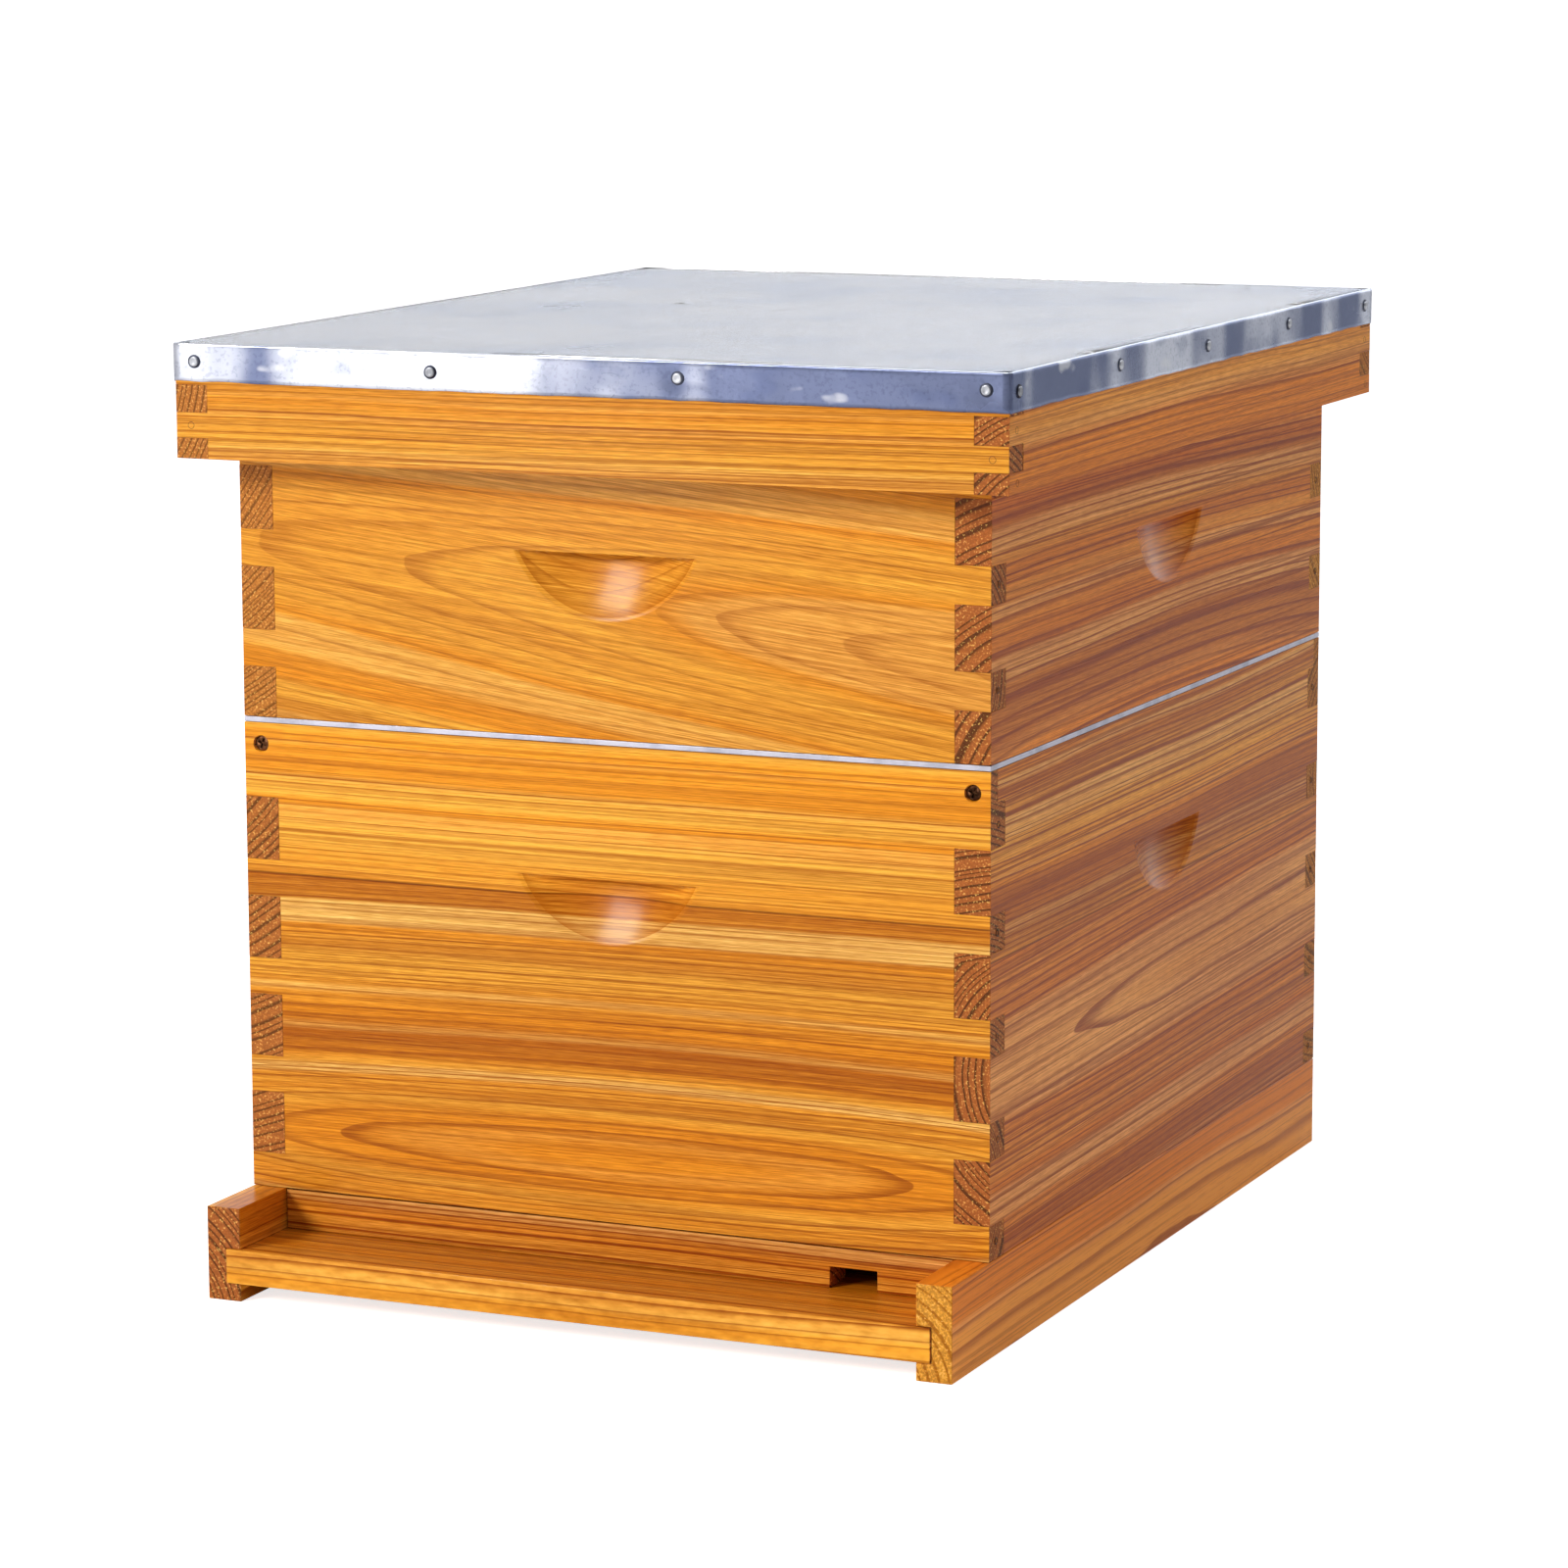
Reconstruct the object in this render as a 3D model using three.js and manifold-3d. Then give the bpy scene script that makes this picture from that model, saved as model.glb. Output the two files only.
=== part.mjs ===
// A ten-frame Langstroth beehive: floor with an entrance reducer, a deep brood box, a queen excluder,
// a medium super, an inner cover and a telescoping outer cover with a galvanised sheet on top.
// Millimetres. +X is to the right seen from the entrance, +Y runs to the back, +Z is up.
// The origin is under the middle of the hive's bounding box, on the surface it stands on.
import * as THREE from "three";
import { mergeVertices } from "three/addons/utils/BufferGeometryUtils.js";
import Module from "manifold-3d";

const wasm = await Module();
wasm.setup();

// Hive bodies: the standard ten-frame footprint and heights.
const BOX_W = 413;
const BOX_L = 505;
const DEEP_H = 244.5;
const MEDIUM_H = 168.3;
const BOARD = 19;
const STACK_GAP = 0.3; // free height between stacked bodies
const JOINT_GAP = 0.1; // free play in a glued finger joint or a groove
const THROUGH = 1; // how far a cutter runs past the face it opens
const WELD = 1e-4; // corners nearer than this are one corner

// Box joints are cut from the top edge down, so every body shares the same spacing.
const TOP_FINGER = 38.75;
const SIDE_FINGER = 32.5;
const END_FINGER = 19.25;
const RABBET_DEPTH = 16;
const RABBET_LEDGE = 10;

// Hand holds: a shallow ball-shaped scoop with a flat top edge.
// For each height of body, how far that edge lies below the top.
const SCOOP_TOP = new Map([
  [DEEP_H, 68],
  [MEDIUM_H, 75],
]);
const SCOOP_RADIUS = 55;
const SCOOP_RISE = 21; // from the flat edge up to the middle of the arc
const SCOOP_DEPTH = 13.5;
const SCOOP_RINGS = 7;
const SCOOP_SIDES = 48;

// Floor.
const LANDING = 49; // how far the floor runs out in front of the brood box
const FLOOR_PROUD = 1;
const RAIL_H = 49;
const UNDER_H = 9.5;
const FLOOR_T = 18;
const DADO = 8;
const FLOOR_BOARDS = ["front", "middle", "rear"];
const TONGUE_T = 6;
const TONGUE_REACH = 5;

// Entrance reducer: a loose bar with a small opening on one side and a wide one on the next side.
const REDUCER_H = 20.8;
const REDUCER_D = 20;
const REDUCER_PLAY = 0.5;
const SMALL_NOTCH = { width: 25.5, height: 11, fromRail: 41 };
const WIDE_NOTCH = { width: 100, height: 9.5 };

// Queen excluder: a wire grid in a folded sheet rim.
const EXCLUDER_T = 2.6;
const RIM_W = 19;
const RIM_SHEET = 0.4;
const RIM_GROOVE = 8;
const WIRE = 1.6;
const WIRE_PITCH = 5.8; // it leaves 4.2 mm, which lets workers through and holds back a queen
const CROSS_WIRES = 2;
const CROSS_W = 4;
const CROSS_T = 1;
const GRID_PLAY = 1; // how far the grid stops short of the rim's fold

// Self-spacing frames, hung by their lugs on the rabbets.
const FRAMES = 10;
const FRAME_PITCH = 35.3;
const LUG_TO_LUG = 482.6;
const LUG_T = 9.5;
const TOP_BAR_W = 27;
const TOP_BAR_T = 19;
const FRAME_L = 448;
const END_BAR_T = 9.5;
const SHOULDER_W = 35;
const SHOULDER_H = 78;
const SHOULDER_TAPER = 10;
const END_BAR_W = 27;
const BOTTOM_BAR_W = 19;
const BOTTOM_BAR_T = 9.5;
const FOUNDATION_T = 1.6;
const FOUNDATION_TUCK = 3;
const DEEP_FRAME_H = 232;
const MEDIUM_FRAME_H = 159;

// Inner cover: a framed panel with an oval bee-escape hole and a front notch.
const INNER_T = 15;
const INNER_RIM_W = 32;
const PANEL_T = 5;
const PANEL_UP = 4;
const PANEL_TUCK = 8;
const ESCAPE = { length: 95, width: 32, arc: 12 };
const UPPER_NOTCH = { width: 25, height: 5.5 };

// Outer cover: it telescopes over the inner cover and the top of the super.
const COVER_W = 453;
const COVER_L = 557;
const COVER_AHEAD = 2; // it sits this much nearer the front
const COVER_BOARD = 18;
const COVER_SKIRT = 49;
const COVER_FINGERS = [10.5, 23.5, 37.5]; // where the two boards' fingers change over, from the lower edge
const COVER_PANEL = 9;
const SHEET = 0.6;
const SHEET_PLAY = 0.1;
const SHEET_SKIRT = 19; // the depth of the folded edge

// Corner screws through the thin rabbeted part of each end board.
const SCREW = { head: 4, shank: 2, headDepth: 3.5, length: 42, sunk: 1.5, down: 11, inset: 9.5 };
const SCREW_SIDES = 12;
const PILOT_PLAY = 0.2;

const COLOURS = {
  cedar: { color: 0xc8822e, roughness: 0.42, metalness: 0 },
  pine: { color: 0xd9b47c, roughness: 0.6, metalness: 0 },
  plywood: { color: 0xb98a52, roughness: 0.6, metalness: 0 },
  galvanised: { color: 0xc3c8d6, roughness: 0.3, metalness: 1 },
  steel: { color: 0x8a8378, roughness: 0.4, metalness: 1 },
};

// Heights of the stack, from the ground up.
const BROOD_Z = RAIL_H + STACK_GAP;
const EXCLUDER_Z = BROOD_Z + DEEP_H + STACK_GAP;
const SUPER_Z = EXCLUDER_Z + EXCLUDER_T + STACK_GAP;
const INNER_Z = SUPER_Z + MEDIUM_H + STACK_GAP;
const COVER_PANEL_Z = INNER_Z + INNER_T + STACK_GAP;
const COVER_Z = COVER_PANEL_Z - COVER_SKIRT;

// The box front is at y = 0 while the parts are placed, and the whole hive is then centred.
const FRONT_Y = -(LANDING + FLOOR_PROUD);
const BACK_Y = BOX_L / 2 - COVER_AHEAD + COVER_L / 2 + SHEET + SHEET_PLAY;
const MIDDLE_Y = (FRONT_Y + BACK_Y) / 2;

// ---------- solids ----------

function solid(geometry) {
  const bare = geometry.clone();
  bare.deleteAttribute("normal");
  bare.deleteAttribute("uv");
  const merged = mergeVertices(bare, WELD);
  return new wasm.Manifold(
    new wasm.Mesh({
      numProp: 3,
      vertProperties: new Float32Array(merged.attributes.position.array),
      triVerts: new Uint32Array(merged.index.array),
    }),
  );
}

function geometryOf(body) {
  const mesh = body.getMesh();
  const geometry = new THREE.BufferGeometry();
  geometry.setAttribute("position", new THREE.BufferAttribute(mesh.vertProperties, 3));
  geometry.setIndex(new THREE.BufferAttribute(mesh.triVerts, 1));
  return geometry;
}

function block([x0, x1], [y0, y1], [z0, z1]) {
  const box = new THREE.BoxGeometry(x1 - x0, y1 - y0, z1 - z0);
  box.translate((x0 + x1) / 2, (y0 + y1) / 2, (z0 + z1) / 2);
  return solid(box);
}

function cut(body, cutters) {
  return cutters.reduce((rest, cutter) => rest.subtract(cutter), body);
}

function join(bodies) {
  return bodies.reduce((whole, body) => whole.add(body));
}

function pairOf(make) {
  return [make(-1), make(1)];
}

// ---------- box boards ----------
// Every board is made lying along X with its outer face at y = 0 and its lower edge at z = 0.

// The heights at which the long side boards show their end grain on the front.
function sideFingers(height) {
  const spans = [];
  for (let top = height - TOP_FINGER; top > 0; top -= SIDE_FINGER + END_FINGER) {
    spans.push([Math.max(top - SIDE_FINGER, 0), top]);
  }
  return spans;
}

// The heights between the side fingers, which the end boards fill.
function endFingers(height) {
  const edges = [height, ...sideFingers(height).flatMap(([low, high]) => [high, low]), 0];
  const spans = [];
  for (let i = 0; i < edges.length; i += 2) {
    if (edges[i] - edges[i + 1] > JOINT_GAP) spans.push([edges[i + 1], edges[i]]);
  }
  return spans;
}

// A span grown by the joint's free play, and run past the board where it reaches its edge.
function loosened([low, high], height) {
  return [low <= 0 ? -THROUGH : low - JOINT_GAP, high >= height ? height + THROUGH : high + JOINT_GAP];
}

function endSlots(halfLength, spans, height, depth = BOARD) {
  return spans.flatMap((span) =>
    pairOf((side) => {
      const inner = side * (halfLength - depth - JOINT_GAP);
      const outer = side * (halfLength + THROUGH);
      return block(
        [Math.min(inner, outer), Math.max(inner, outer)],
        [-THROUGH, BOARD + THROUGH],
        loosened(span, height),
      );
    }),
  );
}

function scoop(height) {
  const profile = [new THREE.Vector2(0, -THROUGH)];
  for (let i = 0; i <= SCOOP_RINGS; i++) {
    const radius = SCOOP_RADIUS * (1 - i / SCOOP_RINGS);
    const depth = SCOOP_DEPTH * (1 - (radius / SCOOP_RADIUS) ** 2);
    if (i === 0) profile.push(new THREE.Vector2(SCOOP_RADIUS, -THROUGH));
    profile.push(new THREE.Vector2(radius, depth));
  }
  const dome = solid(new THREE.LatheGeometry(profile, SCOOP_SIDES));
  const edge = height - SCOOP_TOP.get(height);
  const below = block([-BOX_L, BOX_L], [-2 * THROUGH, BOARD], [-height, edge]);
  return dome.translate(0, 0, edge + SCOOP_RISE).intersect(below);
}

// A screw's outline turned about +Y, grown by play, with its head's face at y = sunk.
function screwBody(play, sunk) {
  const { head, shank, headDepth, length } = SCREW;
  const points = [
    [0, sunk],
    [head + play, sunk],
    [shank + play, SCREW.sunk + headDepth],
    [shank + play, length - 2 * shank],
    [0, length + play],
  ];
  const outline = points.map(([radius, y]) => new THREE.Vector2(radius, y));
  return solid(new THREE.LatheGeometry(outline, SCREW_SIDES));
}

function screwHole(x, height) {
  const neck = new THREE.CylinderGeometry(
    SCREW.head + PILOT_PLAY,
    SCREW.head + PILOT_PLAY,
    SCREW.sunk + THROUGH,
    SCREW_SIDES,
  );
  neck.translate(0, (SCREW.sunk - THROUGH) / 2, 0);
  const hole = join([screwBody(PILOT_PLAY, SCREW.sunk - JOINT_GAP), solid(neck)]);
  return hole.translate(x, 0, height - SCREW.down);
}

// The short boards, front and back: they carry the rabbets that hold the frames.
function endBoard(height) {
  const half = BOX_W / 2;
  const plain = block([-half, half], [0, BOARD], [0, height]);
  const rabbet = block(
    [-half - THROUGH, half + THROUGH],
    [BOARD - RABBET_LEDGE, BOARD + THROUGH],
    [height - RABBET_DEPTH, height + THROUGH],
  );
  const holes = pairOf((side) => screwHole(side * (half - SCREW.inset), height));
  return cut(plain, [...endSlots(half, sideFingers(height), height), rabbet, scoop(height), ...holes]);
}

// The long boards, left and right: a tongue at the top fills the end of each rabbet.
function sideBoard(height) {
  const half = BOX_L / 2;
  const plain = block([-half, half], [0, BOARD], [0, height]);
  const [topSpan, ...lowerSpans] = endFingers(height);
  const ledge = height - RABBET_DEPTH;
  const topSlots = [
    ...endSlots(half, [[topSpan[0], ledge]], height),
    ...endSlots(half, [[ledge, height]], height, BOARD - RABBET_LEDGE),
  ];
  const pilots = pairOf((side) =>
    screwBody(PILOT_PLAY, SCREW.sunk)
      .rotate(0, 0, side * 90)
      .translate(side * half, SCREW.inset, height - SCREW.down),
  );
  return cut(plain, [...endSlots(half, lowerSpans, height), ...topSlots, scoop(height), ...pilots]);
}

// ---------- floor ----------

function rail() {
  const length = LANDING + BOX_L;
  const plain = block([-length / 2, length / 2], [0, BOARD], [0, RAIL_H]);
  const dado = block(
    [-length / 2 - THROUGH, length / 2 + THROUGH],
    [BOARD - DADO, BOARD + THROUGH],
    [UNDER_H - JOINT_GAP, UNDER_H + FLOOR_T + JOINT_GAP],
  );
  return cut(plain, [dado]);
}

// One floor board across the hive, with a tongue at the back and a groove at the front of the next.
function floorBoard(index) {
  const length = LANDING + FLOOR_PROUD + BOX_L;
  const width = length / FLOOR_BOARDS.length;
  const half = BOX_W / 2 - BOARD + DADO - JOINT_GAP;
  const first = index === 0;
  const last = index === FLOOR_BOARDS.length - 1;
  const middle = FLOOR_T / 2;
  let board = block([-half, half], [first ? 0 : JOINT_GAP, width], [0, FLOOR_T]);
  if (!last) {
    const tongue = block(
      [-half, half],
      [width - THROUGH, width + TONGUE_REACH],
      [middle - TONGUE_T / 2, middle + TONGUE_T / 2],
    );
    board = board.add(tongue);
  }
  if (!first) {
    const groove = block(
      [-half - THROUGH, half + THROUGH],
      [-THROUGH, TONGUE_REACH + JOINT_GAP],
      [middle - TONGUE_T / 2 - JOINT_GAP, middle + TONGUE_T / 2 + JOINT_GAP],
    );
    board = board.subtract(groove);
  }
  return board;
}

function cleat(height) {
  const half = BOX_W / 2 - BOARD - JOINT_GAP;
  return block([-half, half], [0, BOARD], [0, height]);
}

function entranceReducer() {
  const half = BOX_W / 2 - BOARD - REDUCER_PLAY;
  const right = half + REDUCER_PLAY - SMALL_NOTCH.fromRail;
  const small = block(
    [right - SMALL_NOTCH.width, right],
    [-THROUGH, REDUCER_D + THROUGH],
    [-THROUGH, SMALL_NOTCH.height],
  );
  const wide = block(
    [-WIDE_NOTCH.width / 2, WIDE_NOTCH.width / 2],
    [REDUCER_D - WIDE_NOTCH.height, REDUCER_D + THROUGH],
    [-THROUGH, REDUCER_H + THROUGH],
  );
  return cut(block([-half, half], [0, REDUCER_D], [0, REDUCER_H]), [small, wide]);
}

// ---------- queen excluder ----------

function excluderRim() {
  const half = { x: BOX_W / 2, y: BOX_L / 2 };
  const window = block(
    [-half.x + RIM_W, half.x - RIM_W],
    [-half.y + RIM_W, half.y - RIM_W],
    [-THROUGH, EXCLUDER_T + THROUGH],
  );
  const reach = RIM_W - RIM_GROOVE;
  const groove = block(
    [-half.x + reach, half.x - reach],
    [-half.y + reach, half.y - reach],
    [RIM_SHEET, EXCLUDER_T - RIM_SHEET],
  );
  return cut(block([-half.x, half.x], [-half.y, half.y], [0, EXCLUDER_T]), [window, groove]);
}

function excluderGrid() {
  const tuck = RIM_GROOVE - GRID_PLAY;
  const halfX = BOX_W / 2 - RIM_W + tuck;
  const halfY = BOX_L / 2 - RIM_W + tuck;
  const count = Math.floor((BOX_W - 2 * RIM_W) / WIRE_PITCH);
  const low = (EXCLUDER_T - WIRE) / 2;
  const wires = [];
  for (let i = 0; i < count; i++) {
    const x = (i - (count - 1) / 2) * WIRE_PITCH;
    wires.push(block([x - WIRE / 2, x + WIRE / 2], [-halfY, halfY], [low + WIRE / 2, low + WIRE]));
  }
  const spacing = (2 * halfY) / (CROSS_WIRES + 1);
  for (let i = 1; i <= CROSS_WIRES; i++) {
    const y = -halfY + i * spacing;
    wires.push(block([-halfX, halfX], [y - CROSS_W / 2, y + CROSS_W / 2], [low, low + CROSS_T]));
  }
  return join(wires);
}

// ---------- frames ----------

// An end bar: wide shoulders keep the frames apart, and the lower part is narrower for the bees.
function endBar(height) {
  const outline = new THREE.Shape();
  outline.moveTo(-SHOULDER_W / 2, 0);
  outline.lineTo(-SHOULDER_W / 2, -SHOULDER_H);
  outline.lineTo(-END_BAR_W / 2, -SHOULDER_H - SHOULDER_TAPER);
  outline.lineTo(-END_BAR_W / 2, -height);
  outline.lineTo(END_BAR_W / 2, -height);
  outline.lineTo(END_BAR_W / 2, -SHOULDER_H - SHOULDER_TAPER);
  outline.lineTo(SHOULDER_W / 2, -SHOULDER_H);
  outline.lineTo(SHOULDER_W / 2, 0);
  const bar = new THREE.ExtrudeGeometry(outline, { depth: END_BAR_T, bevelEnabled: false });
  return solid(bar).rotate(90, 0, 0).translate(0, END_BAR_T / 2, 0);
}

// A frame hanging from z = 0, its length along Y: top bar, end bars, bottom bar and foundation glued up.
function frame(height) {
  const half = FRAME_L / 2;
  const lugs = block([-TOP_BAR_W / 2, TOP_BAR_W / 2], [-LUG_TO_LUG / 2, LUG_TO_LUG / 2], [-LUG_T, 0]);
  const bar = block(
    [-TOP_BAR_W / 2, TOP_BAR_W / 2],
    [-half + END_BAR_T / 2, half - END_BAR_T / 2],
    [-TOP_BAR_T, 0],
  );
  const ends = pairOf((side) => endBar(height).translate(0, side * (half - END_BAR_T / 2), 0));
  const bottom = block(
    [-BOTTOM_BAR_W / 2, BOTTOM_BAR_W / 2],
    [-half + END_BAR_T / 2, half - END_BAR_T / 2],
    [-height, -height + BOTTOM_BAR_T],
  );
  const inside = half - END_BAR_T + FOUNDATION_TUCK;
  const foundation = block(
    [-FOUNDATION_T / 2, FOUNDATION_T / 2],
    [-inside, inside],
    [-height + BOTTOM_BAR_T - FOUNDATION_TUCK, -TOP_BAR_T + FOUNDATION_TUCK],
  );
  return join([lugs, bar, ...ends, bottom, foundation]);
}

// ---------- inner cover ----------

function innerRail(length) {
  const plain = block([-length / 2, length / 2], [0, INNER_RIM_W], [0, INNER_T]);
  const groove = block(
    [-length / 2 - THROUGH, length / 2 + THROUGH],
    [INNER_RIM_W - PANEL_TUCK, INNER_RIM_W + THROUGH],
    [PANEL_UP - JOINT_GAP, PANEL_UP + PANEL_T + JOINT_GAP],
  );
  return cut(plain, [groove]);
}

function notchedInnerRail(length) {
  const notch = block(
    [-UPPER_NOTCH.width / 2, UPPER_NOTCH.width / 2],
    [-THROUGH, INNER_RIM_W + THROUGH],
    [INNER_T - UPPER_NOTCH.height, INNER_T + THROUGH],
  );
  return cut(innerRail(length), [notch]);
}

function innerPanel() {
  const tuck = PANEL_TUCK - 2 * JOINT_GAP;
  const halfX = BOX_W / 2 - INNER_RIM_W + tuck;
  const halfY = BOX_L / 2 - INNER_RIM_W + tuck;
  const outline = new THREE.Shape();
  outline.moveTo(-halfX, -halfY);
  outline.lineTo(halfX, -halfY);
  outline.lineTo(halfX, halfY);
  outline.lineTo(-halfX, halfY);
  const radius = ESCAPE.width / 2;
  const straight = ESCAPE.length / 2 - radius;
  const hole = new THREE.Path();
  hole.absarc(0, straight, radius, 0, Math.PI);
  hole.absarc(0, -straight, radius, Math.PI, 2 * Math.PI);
  hole.closePath();
  outline.holes.push(hole);
  return solid(
    new THREE.ExtrudeGeometry(outline, {
      depth: PANEL_T,
      bevelEnabled: false,
      curveSegments: ESCAPE.arc,
    }),
  );
}

// ---------- outer cover ----------

function coverBoard(length, ownsOddSpans) {
  const half = length / 2;
  const edges = [0, ...COVER_FINGERS, COVER_SKIRT];
  const given = [];
  for (let i = 0; i < edges.length - 1; i++) {
    const sideBoardSpan = i % 2 === 0;
    if (sideBoardSpan !== ownsOddSpans) given.push([edges[i], edges[i + 1]]);
  }
  const plain = block([-half, half], [0, COVER_BOARD], [0, COVER_SKIRT]);
  return cut(plain, endSlots(half, given, COVER_SKIRT, COVER_BOARD));
}

function coverSheet() {
  const grow = SHEET + SHEET_PLAY;
  const outer = { x: COVER_W / 2 + grow, y: COVER_L / 2 + grow };
  const inner = { x: COVER_W / 2 + SHEET_PLAY, y: COVER_L / 2 + SHEET_PLAY };
  const tray = block([-outer.x, outer.x], [-outer.y, outer.y], [-SHEET_SKIRT, SHEET]);
  const hollow = block([-inner.x, inner.x], [-inner.y, inner.y], [-SHEET_SKIRT - THROUGH, 0]);
  return tray.subtract(hollow);
}

// ---------- assembly ----------

const hive = new THREE.Group();
hive.position.y = -MIDDLE_Y;

function add(name, body, colour, position, turn = 0) {
  const mesh = new THREE.Mesh(geometryOf(body), new THREE.MeshStandardMaterial(COLOURS[colour]));
  mesh.name = name;
  mesh.position.set(...position);
  mesh.rotation.z = turn;
  hive.add(mesh);
}

// Four boards round a box of the given size, each with its outer face outwards.
function addWalls(prefix, endBody, sideBody, width, length, centreY, z) {
  add(`${prefix}_front`, endBody, "cedar", [0, centreY - length / 2, z]);
  add(`${prefix}_back`, endBody, "cedar", [0, centreY + length / 2, z], Math.PI);
  add(`${prefix}_left`, sideBody, "cedar", [-width / 2, centreY, z], -Math.PI / 2);
  add(`${prefix}_right`, sideBody, "cedar", [width / 2, centreY, z], Math.PI / 2);
}

function addFloor() {
  const railY = (BOX_L - LANDING) / 2;
  add("floor_rail_left", rail(), "cedar", [-BOX_W / 2, railY, 0], -Math.PI / 2);
  add("floor_rail_right", rail(), "cedar", [BOX_W / 2, railY, 0], Math.PI / 2);
  const width = (LANDING + FLOOR_PROUD + BOX_L) / FLOOR_BOARDS.length;
  FLOOR_BOARDS.forEach((place, i) => {
    add(`floor_board_${place}`, floorBoard(i), "cedar", [0, FRONT_Y + i * width, UNDER_H]);
  });
  const floorTop = UNDER_H + FLOOR_T + JOINT_GAP;
  add("floor_cleat_upper", cleat(RAIL_H - floorTop), "cedar", [0, BOX_L - BOARD, floorTop]);
  add("floor_cleat_lower", cleat(UNDER_H - JOINT_GAP), "cedar", [0, BOX_L - BOARD, 0]);
  add("entrance_reducer", entranceReducer(), "cedar", [0, 0, floorTop]);
}

function addScrews(prefix, z, height) {
  let number = 1;
  for (const [y, turn] of [[0, 0], [BOX_L, Math.PI]]) {
    for (const side of [-1, 1]) {
      const x = side * (BOX_W / 2 - SCREW.inset);
      const place = [x, y, z + height - SCREW.down];
      add(`${prefix}_corner_screw_${number++}`, screwBody(0, SCREW.sunk), "steel", place, turn);
    }
  }
}

function addBody(prefix, z, height, frameHeight) {
  addWalls(prefix, endBoard(height), sideBoard(height), BOX_W, BOX_L, BOX_L / 2, z);
  addScrews(prefix, z, height);
  const hung = z + height - RABBET_DEPTH + STACK_GAP + LUG_T;
  for (let i = 0; i < FRAMES; i++) {
    const x = (i - (FRAMES - 1) / 2) * FRAME_PITCH;
    const number = String(i + 1).padStart(2, "0");
    add(`${prefix}_frame_${number}`, frame(frameHeight), "pine", [x, BOX_L / 2, hung]);
  }
}

function addExcluder() {
  add("excluder_rim", excluderRim(), "galvanised", [0, BOX_L / 2, EXCLUDER_Z]);
  add("excluder_grid", excluderGrid(), "galvanised", [0, BOX_L / 2, EXCLUDER_Z]);
}

function addInnerCover() {
  const across = BOX_W - 2 * INNER_RIM_W - 2 * JOINT_GAP;
  add("inner_cover_front", notchedInnerRail(across), "cedar", [0, 0, INNER_Z]);
  add("inner_cover_back", innerRail(across), "cedar", [0, BOX_L, INNER_Z], Math.PI);
  add("inner_cover_left", innerRail(BOX_L), "cedar", [-BOX_W / 2, BOX_L / 2, INNER_Z], -Math.PI / 2);
  add("inner_cover_right", innerRail(BOX_L), "cedar", [BOX_W / 2, BOX_L / 2, INNER_Z], Math.PI / 2);
  add("inner_cover_panel", innerPanel(), "plywood", [0, BOX_L / 2, INNER_Z + PANEL_UP]);
}

function addOuterCover() {
  const centreY = BOX_L / 2 - COVER_AHEAD;
  const ends = coverBoard(COVER_W, false);
  const sides = coverBoard(COVER_L, true);
  addWalls("outer_cover", ends, sides, COVER_W, COVER_L, centreY, COVER_Z);
  const panel = block(
    [-COVER_W / 2, COVER_W / 2],
    [-COVER_L / 2, COVER_L / 2],
    [JOINT_GAP, COVER_PANEL],
  );
  add("outer_cover_panel", panel, "plywood", [0, centreY, COVER_PANEL_Z]);
  const sheetZ = COVER_PANEL_Z + COVER_PANEL + SHEET_PLAY;
  add("outer_cover_sheet", coverSheet(), "galvanised", [0, centreY, sheetZ]);
}

addFloor();
addBody("brood", BROOD_Z, DEEP_H, DEEP_FRAME_H);
addExcluder();
addBody("super", SUPER_Z, MEDIUM_H, MEDIUM_FRAME_H);
addInnerCover();
addOuterCover();

const part = new THREE.Group();
part.add(hive);

export default part;
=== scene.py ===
"""A ten-frame Langstroth beehive in waxed softwood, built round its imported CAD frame.

Every wooden piece is made lying along its own X, with its outer face at y = 0 and its lower edge at z = 0,
given its grain there, and then put in its place. Metres. The row frame has +Y from the entrance to the back.
"""

import math
import random
from dataclasses import dataclass
from itertools import product

import bmesh
import bpy
import numpy as np
from mathutils import Matrix, Vector


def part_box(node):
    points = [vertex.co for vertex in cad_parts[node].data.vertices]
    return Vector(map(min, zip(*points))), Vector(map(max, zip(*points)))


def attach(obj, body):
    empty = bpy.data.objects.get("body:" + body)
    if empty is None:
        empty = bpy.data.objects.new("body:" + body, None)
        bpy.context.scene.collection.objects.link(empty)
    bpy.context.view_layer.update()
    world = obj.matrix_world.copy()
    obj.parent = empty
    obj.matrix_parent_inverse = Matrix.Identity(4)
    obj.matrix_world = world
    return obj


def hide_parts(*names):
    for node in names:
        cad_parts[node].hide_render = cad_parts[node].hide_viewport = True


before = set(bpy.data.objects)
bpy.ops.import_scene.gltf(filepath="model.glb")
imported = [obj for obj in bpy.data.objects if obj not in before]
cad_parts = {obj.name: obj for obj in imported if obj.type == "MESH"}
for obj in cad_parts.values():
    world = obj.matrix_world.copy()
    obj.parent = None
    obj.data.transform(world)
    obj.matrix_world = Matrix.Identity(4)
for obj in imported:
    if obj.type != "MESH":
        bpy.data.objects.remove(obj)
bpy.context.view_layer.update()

# ---------- sizes, the same as the CAD's ----------

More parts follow.
